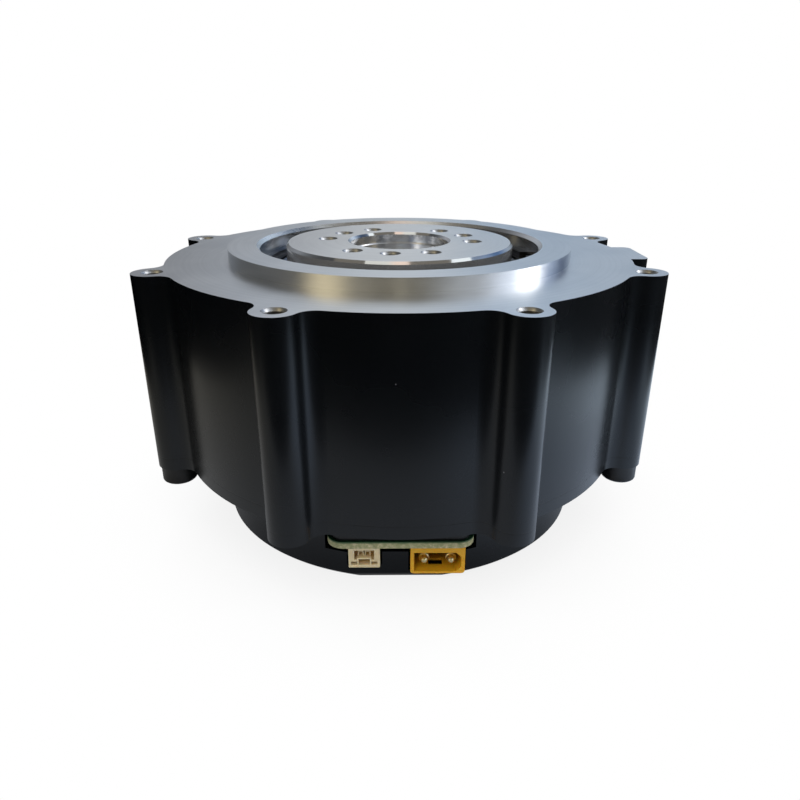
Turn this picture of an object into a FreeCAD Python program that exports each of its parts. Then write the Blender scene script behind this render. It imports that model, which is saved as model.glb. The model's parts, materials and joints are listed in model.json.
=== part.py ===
import FreeCAD, Part

# Robot joint actuator: a flat motor with a one-stage planetary gear inside a round housing.
# The origin is on the output axis, in the plane of the housing's front mounting face.
# +Z points out of the output side, the connectors face -Y and the flat pad faces +X.
# Every length is in millimetres and every angle in degrees.

import os
import re

import Sketcher

SIZES = {
    # housing shell
    "body_radius": 46.8,
    "body_height": 36.4,
    "wall": 2.8,
    "overrun": 1.0,
    "front_wall": 4.0,
    "ear_count": 8,
    "ear_circle": 49.0,
    "ear_radius": 3.8,
    "ear_blend": 3.0,
    "ear_hole": 2.0,
    "ear_hole_depth": 14.0,
    "pad_reach": 50.1,
    "pad_half_width": 6.7,
    "pad_corner": 1.5,
    "ring_radius": 34.7,
    "ring_height": 2.5,
    "ring_bore": 28.4,
    "ring_chamfer": 0.7,
    # output bearing, a crossed roller bearing behind a split ring
    "seat_radius": 29.4,
    "split_ring_depth": 0.95,
    "split_ring_thick": 1.0,
    "split_ring_bore": 27.0,
    "split_ring_gap": 4.0,
    "split_ring_turn": 9,
    "bearing_height": 8.0,
    "bearing_bore": 21.5,
    "bearing_lip_gap": 0.9,
    "roller_diameter": 3.0,
    "roller_length": 2.8,
    "roller_play": 0.06,
    "roller_count": 16,
    # output flange
    "flange_top": 2.7,
    "flange_radius": 23.2,
    "flange_chamfer": 0.5,
    "recess_radius": 10.1,
    "recess_depth": 5.0,
    "recess_step": 0.6,
    "recess_step_depth": 2.3,
    "bolt_circle": 15.0,
    "bolt_hole": 2.0,
    "bolt_depth": 8.0,
    "bolt_spacing": 30,
    "first_bolt": -7,
    # gears, one module throughout
    "module_size": 1.0,
    "pressure_angle": 20,
    "sun_teeth": 12,
    "planet_teeth": 18,
    "ring_teeth": 48,
    "planet_count": 3,
    "planet_turn": 83,
    "dedendum": 1.25,
    "tooth_sink": 0.3,
    "backlash": 0.06,
    "gear_width": 9.0,
    "carrier_radius": 22.6,
    "carrier_plate": 3.0,
    "carrier_bore": 7.6,
    "post_radius": 4.0,
    "post_circle": 16.0,
    "pin_radius": 2.5,
    "pin_depth": 3.0,
    "planet_bore": 3.5,
    "bush_play": 0.03,
    "gear_gap": 0.4,
    "ring_gear_margin": 0.2,
    # gear boss of the housing
    "boss_radius": 31.9,
    "boss_depth": 24.0,
    # motor
    "stack_top": 9.5,
    "stack_height": 19.0,
    "slot_count": 18,
    "stator_bore": 37.4,
    "slot_mouth": 1.0,
    "slot_shoulder": 0.3,
    "slot_inner": 38.6,
    "slot_outer": 41.8,
    "tooth_half": 2.75,
    "coil_inner": 38.8,
    "coil_outer": 41.2,
    "coil_half_inside": 3.0,
    "coil_half_outside": 5.7,
    "coil_rise": 3.4,
    "coil_gap": 0.3,
    "rim_bore": 32.6,
    "rim_radius": 34.6,
    "rim_top": 8.5,
    "web_top": 26.4,
    "web_thick": 3.0,
    "magnet_count": 20,
    "magnet_thick": 1.9,
    "magnet_width": 9.0,
    "shank_radius": 3.0,
    "shaft_radius": 5.0,
    "hub_radius": 6.5,
    "shaft_shoulder": 31.5,
    "shank_end": 36.0,
    "race_margin": 0.5,
    "tail_radius": 3.5,
    "tail_end": 41.0,
    "encoder_magnet_radius": 3.0,
    "encoder_magnet_height": 2.6,
    # rear plate and rotor bearing
    "plate_thick": 2.5,
    "bearing_boss_radius": 12.5,
    "bearing_boss_top": 31.2,
    "rotor_bearing_radius": 9.5,
    "rotor_bearing_height": 5.0,
    "race_thick": 1.3,
    "tail_hole": 6.0,
    "lead_width": 3.0,
    "lead_thick": 1.0,
    "lead_circle": 33.0,
    "lead_spacing": 14,
    "lead_clearance": 0.5,
    "lead_foot_reach": 1.5,
    "screw_head_radius": 3.4,
    "screw_head_height": 3.6,
    "screw_length": 12.0,
    "screw_radius": 1.7,
    "screw_clearance_radius": 2.25,
    # rear cover and its board
    "cover_radius": 38.6,
    "cover_bore": 36.2,
    "cover_height": 14.5,
    "cover_floor": 1.0,
    "cover_flat": 37.2,
    "cover_chamfer": 0.6,
    "cover_screw_radius": 1.25,
    "cover_screw_sink": 2.5,
    "slot_half_width": 14.1,
    "slot_bottom": 48.1,
    "slot_cut_back": 6.0,
    "board_radius": 35.4,
    "board_top": 45.1,
    "board_thick": 1.4,
    "board_reach": 38.5,
    "board_half_width": 13.6,
    "board_corner": 3.0,
    "spacer_count": 4,
    "spacer_circle": 29.0,
    "spacer_radius": 2.5,
    "sensor_size": 5.0,
    "sensor_height": 1.0,
    "chip_size": 5.5,
    "chip_height": 1.1,
    "chip_circle": 20.0,
    "chip_count": 6,
    "power_centre": 6.8,
    "power_width": 10.1,
    "power_height": 5.6,
    "power_depth": 15.0,
    "power_corner": 0.6,
    "power_side_wall": 0.7,
    "power_bottom_wall": 0.45,
    "power_socket_height": 4.1,
    "power_socket_depth": 9.0,
    "power_cut": 1.0,
    "power_slot_left": 1.6,
    "power_slot_right": 1.0,
    "power_slot_start": 2.4,
    "power_slot_length": 1.3,
    "power_pin_radius": 1.0,
    "power_pin_pitch": 5.0,
    "power_pin_inset": 0.75,
    "power_tip_radius": 0.7,
    "power_tip_length": 1.0,
    "signal_centre": 6.75,
    "signal_width": 5.8,
    "signal_height": 4.2,
    "signal_depth": 4.4,
    "signal_wall": 0.45,
    "signal_socket_depth": 3.4,
    "signal_socket_half": 1.83,
    "signal_shelf_half": 1.3,
    "signal_shelf_height": 2.15,
    "signal_notch_height": 1.75,
    "signal_latch_half": 1.05,
    "signal_latch_bottom": 0.6,
    "signal_latch_top": 1.85,
    "signal_slit_start": 1.3,
    "signal_slit_end": 2.4,
    "signal_slit_top": 1.3,
    "signal_contact": 0.4,
    "signal_contact_inset": 1.0,
    "signal_pitch": 1.25,
    "opening_gap": 0.35,
}

doc = FreeCAD.newDocument("JointActuator")
sheet = doc.addObject("Spreadsheet::Sheet", "Sizes")
for row, (alias, size) in enumerate(SIZES.items(), start=1):
    sheet.set(f"A{row}", str(size))
    sheet.setAlias(f"A{row}", alias)
doc.recompute()

subparts = []


def bound(text):
    """The expression with every size name pointing at its cell."""
    return re.sub(r"[a-z_]+", lambda word: f"Sizes.{word[0]}" if word[0] in SIZES else word[0], str(text))


def value(text):
    """The number that an expression has now."""
    number = sheet.evalExpression(bound(text))
    return float(getattr(number, "Value", number))


def new_body(name):
    body = doc.addObject("PartDesign::Body", name)
    body.AllowCompound = True
    subparts.append(body)
    return body


def origin_feature(body, role):
    return next(item for item in body.Origin.OriginFeatures if item.Role == role)


def new_sketch(body, role, height="0", turn="0"):
    """A sketch on one of the body's origin planes, moved along the plane's normal and turned about it."""
    sketch = body.newObject("Sketcher::SketchObject", f"{body.Name}_sketch")
    sketch.AttachmentSupport = [(origin_feature(body, role), "")]
    sketch.MapMode = "FlatFace"
    axis = FreeCAD.Vector(0, 0, 1)
    sketch.AttachmentOffset = FreeCAD.Placement(FreeCAD.Vector(), FreeCAD.Rotation(axis, value(turn)))
    if height != "0":
        sketch.setExpression("AttachmentOffset.Base.z", bound(height))
    if turn != "0":
        sketch.setExpression("AttachmentOffset.Rotation.Angle", bound(turn))
    return sketch


def place_point(sketch, geometry, position, x, y):
    """Hold one point of a sketch at two expressions."""
    for kind, text, axis in (("DistanceX", x, -2), ("DistanceY", y, -1)):
        number = value(text)
        if abs(number) < 1e-9:
            sketch.addConstraint(Sketcher.Constraint("PointOnObject", geometry, position, axis))
        else:
            index = sketch.addConstraint(Sketcher.Constraint(kind, -1, 1, geometry, position, number))
            sketch.setExpression(f"Constraints[{index}]", bound(text))


def arc_between(start, end, radius, left):
    """The shorter arc from start to end, turning left or right on its way."""
    chord = end - start
    across = FreeCAD.Vector(-chord.y, chord.x, 0).normalize()
    height = (radius**2 - (chord.Length / 2) ** 2) ** 0.5
    centre = (start + end) * 0.5 + across * (height if left else -height)
    first, last = (start, end) if left else (end, start)
    angles = [FreeCAD.Vector(1, 0, 0).getAngle(point - centre) for point in (first, last)]
    signed = [angle if point.y >= centre.y else -angle for angle, point in zip(angles, (first, last))]
    circle = Part.Circle(centre, FreeCAD.Vector(0, 0, 1), radius)
    return Part.ArcOfCircle(circle, signed[0], signed[1])


def outline(sketch, corners, arcs=None):
    """A closed outline through corners given as expressions.

    arcs maps a corner's number to the radius of the arc that leaves it and its turn, "left" or "right".
    """
    arcs = arcs or {}
    points = [FreeCAD.Vector(value(x), value(y), 0) for x, y in corners]
    edges = []
    for number, start in enumerate(points):
        end = points[(number + 1) % len(points)]
        if number in arcs:
            radius, turn = arcs[number]
            left = turn == "left"
            geometry = sketch.addGeometry(arc_between(start, end, value(radius), left), False)
            edges.append((geometry, 1 if left else 2, 2 if left else 1))
        else:
            edges.append((sketch.addGeometry(Part.LineSegment(start, end), False), 1, 2))
    for number, (geometry, first, last) in enumerate(edges):
        following = edges[(number + 1) % len(edges)]
        sketch.addConstraint(Sketcher.Constraint("Coincident", geometry, last, following[0], following[1]))
    for (geometry, first, last), (x, y) in zip(edges, corners):
        place_point(sketch, geometry, first, x, y)
    for number, (radius, turn) in arcs.items():
        index = sketch.addConstraint(Sketcher.Constraint("Radius", edges[number][0], value(radius)))
        sketch.setExpression(f"Constraints[{index}]", bound(radius))


def circle(sketch, x, y, radius):
    centre = FreeCAD.Vector(value(x), value(y), 0)
    ring = Part.Circle(centre, FreeCAD.Vector(0, 0, 1), value(radius))
    geometry = sketch.addGeometry(ring, False)
    index = sketch.addConstraint(Sketcher.Constraint("Radius", geometry, value(radius)))
    sketch.setExpression(f"Constraints[{index}]", bound(radius))
    place_point(sketch, geometry, 3, x, y)


def rectangle(sketch, x_low, x_high, y_low, y_high):
    outline(sketch, [(x_low, y_low), (x_high, y_low), (x_high, y_high), (x_low, y_high)])


def feature(body, kind, sketch):
    made = body.newObject(f"PartDesign::{kind}", f"{body.Name}_{kind.lower()}")
    made.Profile = sketch
    return made


def pad(body, sketch, length):
    made = feature(body, "Pad", sketch)
    made.setExpression("Length", bound(length))
    return made


def pocket(body, sketch, depth, upward=False):
    """Cut along the sketch's normal, or against it, and make sure that something was cut."""
    doc.recompute()
    before = body.Shape.Volume
    made = feature(body, "Pocket", sketch)
    made.Reversed = upward
    made.setExpression("Length", bound(depth))
    doc.recompute()
    if body.Shape.Volume > before - 1e-6:
        raise RuntimeError(f"{made.Name} cuts nothing")
    return made


def around(body, feature_to_repeat, count):
    """Repeat a feature evenly about the output axis."""
    pattern = body.newObject("PartDesign::PolarPattern", f"{body.Name}_pattern")
    pattern.Originals = [feature_to_repeat]
    pattern.Axis = (origin_feature(body, "Z_Axis"), [""])
    pattern.Angle = 360
    pattern.setExpression("Occurrences", bound(count))
    body.Tip = pattern
    return pattern


def turned(name, profile):
    """A body of revolution about the output axis from radius and height pairs."""
    body = new_body(name)
    sketch = new_sketch(body, "XZ_Plane")
    outline(sketch, profile)
    made = feature(body, "Revolution", sketch)
    made.ReferenceAxis = (sketch, ["V_Axis"])
    made.Angle = 360
    return body


def move_to(body, x="0", y="0"):
    """Shift a body whose own axis isn't the output axis."""
    body.setExpression("Placement.Base.x", bound(x))
    body.setExpression("Placement.Base.y", bound(y))


# heights that several pieces share
split_ring_top = "-split_ring_depth"
bearing_top = "(-split_ring_depth - split_ring_thick)"
bearing_bottom = f"({bearing_top} - bearing_height)"
planet_top = f"({bearing_bottom} - carrier_plate - gear_gap)"
planet_bottom = f"({planet_top} - gear_width)"
carrier_cover_top = f"({planet_bottom} - gear_gap)"
ring_gear_bottom = f"({planet_bottom} - ring_gear_margin)"
plate_top = "(-body_height)"
plate_bottom = "(-body_height - plate_thick)"
rotor_bearing_bottom = "(-shaft_shoulder - rotor_bearing_height)"
board_bottom = "(-board_top - board_thick)"
cover_bottom = f"({plate_bottom} - cover_height)"

# the blend between an ear and the round wall touches both circles
blend_x = "((ear_circle^2 + (body_radius + ear_blend)^2 - (ear_radius + ear_blend)^2) / (2 * ear_circle))"
blend_y = f"sqrt((body_radius + ear_blend)^2 - {blend_x}^2)"
wall_x = f"{blend_x} * body_radius / (body_radius + ear_blend)"
wall_y = f"{blend_y} * body_radius / (body_radius + ear_blend)"
tip_x = f"ear_circle + ({blend_x} - ear_circle) * ear_radius / (ear_radius + ear_blend)"
tip_y = f"{blend_y} * ear_radius / (ear_radius + ear_blend)"

planet_circle = "(module_size * (sun_teeth + planet_teeth) / 2)"


def add_ears(body, bottom, height):
    """Eight rounded pillars, blended into the round wall."""
    sketch = new_sketch(body, "XY_Plane", bottom, "180 / ear_count")
    outline(
        sketch,
        [
            ("body_radius - wall", f"-{wall_y}"),
            (wall_x, f"-{wall_y}"),
            (tip_x, f"-{tip_y}"),
            (tip_x, tip_y),
            (wall_x, wall_y),
            ("body_radius - wall", wall_y),
        ],
        {1: ("ear_blend", "right"), 2: ("ear_radius", "left"), 3: ("ear_blend", "right")},
    )
    around(body, pad(body, sketch, height), "ear_count")


def add_pad_block(body, bottom, height):
    """The flat pad on the +X side, with rounded corners."""
    sketch = new_sketch(body, "XY_Plane", bottom)
    corner = "pad_half_width - pad_corner"
    outline(
        sketch,
        [
            ("body_radius - wall", "-pad_half_width"),
            ("pad_reach - pad_corner", "-pad_half_width"),
            ("pad_reach", f"-({corner})"),
            ("pad_reach", corner),
            ("pad_reach - pad_corner", "pad_half_width"),
            ("body_radius - wall", "pad_half_width"),
        ],
        {1: ("pad_corner", "left"), 3: ("pad_corner", "left")},
    )
    pad(body, sketch, height)


def screwed_ears():
    """Directions of the ears that hold a screw: all but the two that flank the connectors."""
    turns = [f"(360 / ear_count * ({number} + 0.5))" for number in range(int(value("ear_count")))]
    return [turn for turn in turns if value(f"ear_circle * sin({turn})") > value("-cover_flat")]


def draw_screw_circles(sketch, radius):
    for turn in screwed_ears():
        circle(sketch, f"ear_circle * cos({turn})", f"ear_circle * sin({turn})", radius)


def main_housing():
    body = turned(
        "main_housing",
        [
            ("body_radius", "0"),
            ("body_radius", plate_top),
            ("body_radius - wall", plate_top),
            ("body_radius - wall", "-front_wall"),
            ("boss_radius", "-front_wall"),
            ("boss_radius", "-boss_depth"),
            ("seat_radius", "-boss_depth"),
            ("seat_radius", split_ring_top),
            ("ring_bore", split_ring_top),
            ("ring_bore", "ring_height - ring_chamfer"),
            ("ring_bore + ring_chamfer", "ring_height"),
            ("ring_radius", "ring_height"),
            ("ring_radius", "0"),
        ],
    )
    add_ears(body, plate_top, "body_height")
    add_pad_block(body, plate_top, "body_height")
    # blind mounting holes from the front and screw holes from the rear
    fronts = new_sketch(body, "XY_Plane", "0", "180 / ear_count")
    circle(fronts, "ear_circle", "0", "ear_hole")
    around(body, pocket(body, fronts, "ear_hole_depth"), "ear_count")
    rears = new_sketch(body, "XY_Plane", plate_top)
    draw_screw_circles(rears, "screw_radius")
    pocket(body, rears, "screw_length - plate_thick", upward=True)


def rear_plate():
    body = turned(
        "rear_plate",
        [
            ("body_radius", plate_top),
            ("body_radius", plate_bottom),
            ("tail_hole", plate_bottom),
            ("tail_hole", rotor_bearing_bottom),
            ("rotor_bearing_radius", rotor_bearing_bottom),
            ("rotor_bearing_radius", "-bearing_boss_top"),
            ("bearing_boss_radius", "-bearing_boss_top"),
            ("bearing_boss_radius", plate_top),
        ],
    )
    add_ears(body, plate_bottom, "plate_thick")
    add_pad_block(body, plate_bottom, "plate_thick")
    screw_holes = new_sketch(body, "XY_Plane", plate_top)
    draw_screw_circles(screw_holes, "screw_clearance_radius")
    pocket(body, screw_holes, "plate_thick")
    for turn in lead_turns():
        sketch = new_sketch(body, "XY_Plane", plate_top, turn)
        half_width = "(lead_width / 2 + lead_clearance)"
        half_thick = "(lead_thick / 2 + lead_clearance)"
        x_low, x_high = f"lead_circle - {half_thick}", f"lead_circle + {half_thick}"
        rectangle(sketch, x_low, x_high, f"-{half_width}", half_width)
        pocket(body, sketch, "plate_thick")


def lead_turns():
    """Directions of the three phase leads, on the side away from the connectors."""
    return [f"90 + lead_spacing * ({step})" for step in (-1, 0, 1)]


def split_ring():
    body = turned(
        "bearing_split_ring",
        [
            ("split_ring_bore", split_ring_top),
            ("seat_radius", split_ring_top),
            ("seat_radius", bearing_top),
            ("split_ring_bore", bearing_top),
        ],
    )
    sketch = new_sketch(body, "XY_Plane", split_ring_top, "split_ring_turn")
    x_low, x_high = "split_ring_bore - overrun", "seat_radius + overrun"
    rectangle(sketch, x_low, x_high, "-split_ring_gap / 2", "split_ring_gap / 2")
    pocket(body, sketch, "split_ring_thick")


# the rollers lie in a square channel that stands on its corner
roller_circle = "((seat_radius + bearing_bore) / 2)"
channel_half_diagonal = "((roller_diameter + roller_play) / sqrt(2))"
channel_centre = f"({bearing_top} - bearing_height / 2)"


def bearing_ring(name, back_radius, side):
    """One grooved ring of the crossed roller bearing: side "+" is the outer one, "-" the inner."""
    face = f"{roller_circle} {side} bearing_lip_gap / 2"
    lip = f"({channel_half_diagonal} - bearing_lip_gap / 2)"
    turned(
        name,
        [
            (back_radius, bearing_top),
            (back_radius, bearing_bottom),
            (face, bearing_bottom),
            (face, f"{channel_centre} - {lip}"),
            (f"{roller_circle} {side} {channel_half_diagonal}", channel_centre),
            (face, f"{channel_centre} + {lip}"),
            (face, bearing_top),
        ],
    )


def bearing_rollers():
    """Rollers that lean to alternate sides, so that one row carries thrust both ways and tilt."""
    rollers = []
    for number in range(int(value("roller_count"))):
        turn = f"({number} * 360 / roller_count)"
        lean = 45 if number % 2 else 135
        roller = doc.addObject("Part::Cylinder", f"roller_{number + 1}")
        roller.setExpression("Radius", bound("roller_diameter / 2"))
        roller.setExpression("Height", bound("roller_length"))
        roller.Placement.Rotation = FreeCAD.Rotation(value(turn), lean, 0)
        foot_radius = f"({roller_circle} - roller_length / 2 * sin({lean}))"
        foot_height = f"{channel_centre} - roller_length / 2 * cos({lean})"
        roller.setExpression("Placement.Base.x", bound(f"{foot_radius} * cos({turn})"))
        roller.setExpression("Placement.Base.y", bound(f"{foot_radius} * sin({turn})"))
        roller.setExpression("Placement.Base.z", bound(foot_height))
        rollers.append(roller)
    group = doc.addObject("Part::Compound", "bearing_rollers")
    group.Links = rollers
    subparts.append(group)


def output_flange():
    body = turned(
        "output_flange",
        [
            ("0", "flange_top - recess_depth"),
            ("recess_radius - recess_step", "flange_top - recess_depth"),
            ("recess_radius - recess_step", "flange_top - recess_step_depth"),
            ("recess_radius", "flange_top - recess_step_depth"),
            ("recess_radius", "flange_top - flange_chamfer"),
            ("recess_radius + flange_chamfer", "flange_top"),
            ("flange_radius - flange_chamfer", "flange_top"),
            ("flange_radius", "flange_top - flange_chamfer"),
            ("flange_radius", bearing_top),
            ("bearing_bore", bearing_top),
            ("bearing_bore", bearing_bottom),
            ("0", bearing_bottom),
        ],
    )
    # a twelve-hole circle without the three places that lie over the planet pins
    for step in range(3):
        sketch = new_sketch(body, "XY_Plane", "flange_top", f"first_bolt + bolt_spacing * {step}")
        circle(sketch, "bolt_circle", "0", "bolt_hole")
        around(body, pocket(body, sketch, "bolt_depth"), "planet_count")
    add_pin_holes(body, bearing_bottom, "pin_depth", upward=True)


def add_pin_holes(body, height, depth, upward=False):
    sketch = new_sketch(body, "XY_Plane", height, "planet_turn")
    circle(sketch, planet_circle, "0", "pin_radius")
    around(body, pocket(body, sketch, depth, upward), "planet_count")


def inv(angle):
    """The involute function of an angle expression, in degrees."""
    return f"(tan({angle}) * 180 deg / pi - {angle})"


def tooth_half_angle(teeth, radius, extra):
    """Half of a tooth's or a tooth space's angle at a radius; extra is the play added there, in mm."""
    base = f"(module_size * {teeth} / 2 * cos(pressure_angle))"
    play = f"({extra} / (module_size * {teeth} / 2) * 180 deg / pi)"
    at_pitch, at_radius = inv("(pressure_angle * 1 deg)"), inv(f"acos({base} / ({radius}))")
    return f"(90 deg / {teeth} + {play} + {at_pitch} - {at_radius})"


def tooth_profile(sketch, teeth, radii, extra):
    """A tooth or tooth space on the sketch's X axis, through the given radii, innermost first."""
    side = []
    for drawn_radius, flank_radius in radii:
        half = tooth_half_angle(teeth, flank_radius, extra)
        side.append((f"({drawn_radius}) * cos({half})", f"({drawn_radius}) * sin({half})"))
    mirrored = [(x, f"-({y})") for x, y in side]
    outline(sketch, mirrored + side[::-1])


def external_gear(body, teeth, bottom, width, bore=None):
    """Root cylinder, one involute tooth and its repeats."""
    pitch = f"(module_size * {teeth} / 2)"
    root = f"({pitch} - dedendum * module_size)"
    tip = f"({pitch} + module_size)"
    base = f"({pitch} * cos(pressure_angle))"
    blank = new_sketch(body, "XY_Plane", bottom)
    circle(blank, "0", "0", root)
    if bore:
        circle(blank, "0", "0", bore)
    pad(body, blank, width)
    tooth = new_sketch(body, "XY_Plane", bottom)
    tooth_profile(tooth, teeth, [(f"{root} - tooth_sink", base), (pitch, pitch), (tip, tip)], "-backlash")
    around(body, pad(body, tooth, width), teeth)
    return body


def sun_gear():
    body = new_body("sun_gear")
    bottom = f"({carrier_cover_top} - carrier_plate)"
    external_gear(body, "sun_teeth", bottom, f"{planet_top} - {bottom}")
    sketch = new_sketch(body, "XY_Plane", "-shank_end")
    circle(sketch, "0", "0", "shank_radius")
    pad(body, sketch, f"shank_end + {bottom}")


def planet_gears():
    for number in range(int(value("planet_count"))):
        direction = f"(planet_turn + {number} * 360 / planet_count)"
        body = new_body(f"planet_gear_{number + 1}")
        external_gear(body, "planet_teeth", planet_bottom, "gear_width", "planet_bore")
        move_to(body, f"{planet_circle} * cos({direction})", f"{planet_circle} * sin({direction})")
        # turned so that a tooth space meets the sun's tooth
        turn = f"{direction} + 180 - 360 / planet_teeth * (0.5 - {direction} * sun_teeth / 360)"
        body.Placement.Rotation = FreeCAD.Rotation(FreeCAD.Vector(0, 0, 1), value(turn))
        body.setExpression("Placement.Rotation.Angle", bound(turn))


def ring_gear():
    body = new_body("ring_gear")
    pitch = "(module_size * ring_teeth / 2)"
    blank = new_sketch(body, "XY_Plane", ring_gear_bottom)
    circle(blank, "0", "0", "seat_radius")
    circle(blank, "0", "0", f"{pitch} - module_size")
    pad(body, blank, f"{bearing_bottom} - {ring_gear_bottom}")
    tip = f"{pitch} - module_size"
    root = f"{pitch} + dedendum * module_size"
    turn = "(planet_turn * (ring_teeth + sun_teeth) / 360 + planet_teeth / 2 + 0.5) * 360 / ring_teeth"
    space = new_sketch(body, "XY_Plane", bearing_bottom, turn)
    radii = [(f"{tip} - tooth_sink", tip), (pitch, pitch), (root, root)]
    tooth_profile(space, "ring_teeth", radii, "backlash")
    around(body, pocket(body, space, f"{bearing_bottom} - {ring_gear_bottom}"), "ring_teeth")


def planet_carrier():
    body = new_body("planet_carrier")
    sketch = new_sketch(body, "XY_Plane", f"{bearing_bottom} - carrier_plate")
    circle(sketch, "0", "0", "carrier_radius")
    pad(body, sketch, "carrier_plate")
    posts = new_sketch(body, "XY_Plane", carrier_cover_top, "planet_turn + 60")
    circle(posts, "post_circle", "0", "post_radius")
    height = f"{bearing_bottom} - carrier_plate - {carrier_cover_top}"
    around(body, pad(body, posts, height), "planet_count")
    add_pin_holes(body, bearing_bottom, "carrier_plate")


def carrier_cover():
    body = new_body("carrier_cover")
    sketch = new_sketch(body, "XY_Plane", f"{carrier_cover_top} - carrier_plate")
    circle(sketch, "0", "0", "carrier_radius")
    circle(sketch, "0", "0", "carrier_bore")
    pad(body, sketch, "carrier_plate")
    add_pin_holes(body, carrier_cover_top, "carrier_plate")


def planet_pins():
    body = new_body("planet_pins")
    bottom = f"({carrier_cover_top} - carrier_plate)"
    sketch = new_sketch(body, "XY_Plane", bottom, "planet_turn")
    circle(sketch, planet_circle, "0", "pin_radius")
    around(body, pad(body, sketch, f"{bearing_bottom} + pin_depth - {bottom}"), "planet_count")


def planet_bushes():
    """Bronze bushes, each a running fit on its pin and pressed into its planet."""
    for number in range(int(value("planet_count"))):
        direction = f"(planet_turn + {number} * 360 / planet_count)"
        body = new_body(f"planet_bush_{number + 1}")
        sketch = new_sketch(body, "XY_Plane", planet_bottom)
        circle(sketch, "0", "0", "planet_bore")
        circle(sketch, "0", "0", "pin_radius + bush_play")
        pad(body, sketch, "gear_width")
        move_to(body, f"{planet_circle} * cos({direction})", f"{planet_circle} * sin({direction})")


def stator_core():
    body = new_body("stator_core")
    blank = new_sketch(body, "XY_Plane", "-stack_top - stack_height")
    circle(blank, "0", "0", "body_radius - wall")
    circle(blank, "0", "0", "stator_bore")
    pad(body, blank, "stack_height")
    half_inner = "(slot_inner * 180 / slot_count * pi / 180 - tooth_half)"
    half_outer = "(slot_outer * 180 / slot_count * pi / 180 - tooth_half)"
    side = [
        ("stator_bore - overrun", "slot_mouth"),
        ("slot_inner - slot_shoulder", "slot_mouth"),
        ("slot_inner", half_inner),
        ("slot_outer", half_outer),
    ]
    slot = new_sketch(body, "XY_Plane", "-stack_top", "180 / slot_count")
    outline(slot, [(x, f"-{y}") for x, y in side] + side[::-1])
    around(body, pocket(body, slot, "stack_height"), "slot_count")


def stator_coils():
    """One wound coil on each stator tooth."""
    body = new_body("stator_coils")
    sketch = new_sketch(body, "YZ_Plane", "coil_inner")
    top, bottom = "-stack_top", "-stack_top - stack_height"
    for half, beyond in (("coil_half_outside", "coil_rise"), ("coil_half_inside", "coil_gap")):
        rectangle(sketch, f"-{half}", half, f"{bottom} - {beyond}", f"{top} + {beyond}")
    around(body, pad(body, sketch, "coil_outer - coil_inner"), "slot_count")


def rotor_hub():
    turned(
        "rotor_hub",
        [
            ("0", "-shank_end"),
            ("shank_radius", "-shank_end"),
            ("shank_radius", "-web_top"),
            ("rim_bore", "-web_top"),
            ("rim_bore", "-rim_top"),
            ("rim_radius", "-rim_top"),
            ("rim_radius", "-web_top - web_thick"),
            ("hub_radius", "-web_top - web_thick"),
            ("hub_radius", "-shaft_shoulder"),
            ("shaft_radius", "-shaft_shoulder"),
            ("shaft_radius", f"{rotor_bearing_bottom} - race_margin"),
            ("tail_radius", f"{rotor_bearing_bottom} - race_margin"),
            ("tail_radius", "-tail_end"),
            ("0", "-tail_end"),
        ],
    )


def rotor_magnets():
    body = new_body("rotor_magnets")
    sketch = new_sketch(body, "XY_Plane", "-stack_top - stack_height")
    rectangle(sketch, "rim_radius", "rim_radius + magnet_thick", "-magnet_width / 2", "magnet_width / 2")
    around(body, pad(body, sketch, "stack_height"), "magnet_count")


def rotor_bearing():
    rings = {
        "rotor_bearing_outer_ring": ("rotor_bearing_radius - race_thick", "rotor_bearing_radius"),
        "rotor_bearing_inner_ring": ("shaft_radius", "shaft_radius + race_thick"),
    }
    for name, radii in rings.items():
        body = new_body(name)
        sketch = new_sketch(body, "XY_Plane", rotor_bearing_bottom)
        for radius in radii:
            circle(sketch, "0", "0", radius)
        pad(body, sketch, "rotor_bearing_height")


def encoder_magnet():
    body = new_body("encoder_magnet")
    sketch = new_sketch(body, "XY_Plane", "-tail_end - encoder_magnet_height")
    circle(sketch, "0", "0", "encoder_magnet_radius")
    pad(body, sketch, "encoder_magnet_height")


def housing_screws():
    """Cap screws up through the rear plate into the ears."""
    body = new_body("housing_screws")
    heads = new_sketch(body, "XY_Plane", f"{plate_bottom} - screw_head_height")
    draw_screw_circles(heads, "screw_head_radius")
    shanks = new_sketch(body, "XY_Plane", plate_bottom)
    draw_screw_circles(shanks, "screw_radius")
    pad(body, heads, "screw_head_height")
    pad(body, shanks, "screw_length")


def phase_leads():
    """Three copper bars, each with a foot under the coils and a leg down to the board."""
    body = new_body("phase_leads")
    coil_end = "(-stack_top - stack_height - coil_rise)"
    leg_radii = ("(lead_circle - lead_thick / 2)", "(lead_circle + lead_thick / 2)")
    foot_radii = (leg_radii[0], "(coil_inner + lead_foot_reach)")
    legs = new_sketch(body, "XY_Plane", "-board_top")
    feet = new_sketch(body, "XY_Plane", f"{coil_end} - lead_thick")
    for sketch, (inner, outer) in ((legs, leg_radii), (feet, foot_radii)):
        for turn in lead_turns():
            corners = []
            for radial, side in ((inner, "-"), (outer, "-"), (outer, "+"), (inner, "+")):
                across = f"({side}lead_width / 2)"
                x = f"{radial} * cos({turn}) - {across} * sin({turn})"
                y = f"{radial} * sin({turn}) + {across} * cos({turn})"
                corners.append((x, y))
            outline(sketch, corners)
    pad(body, legs, f"{coil_end} + board_top")
    pad(body, feet, "lead_thick")


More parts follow.
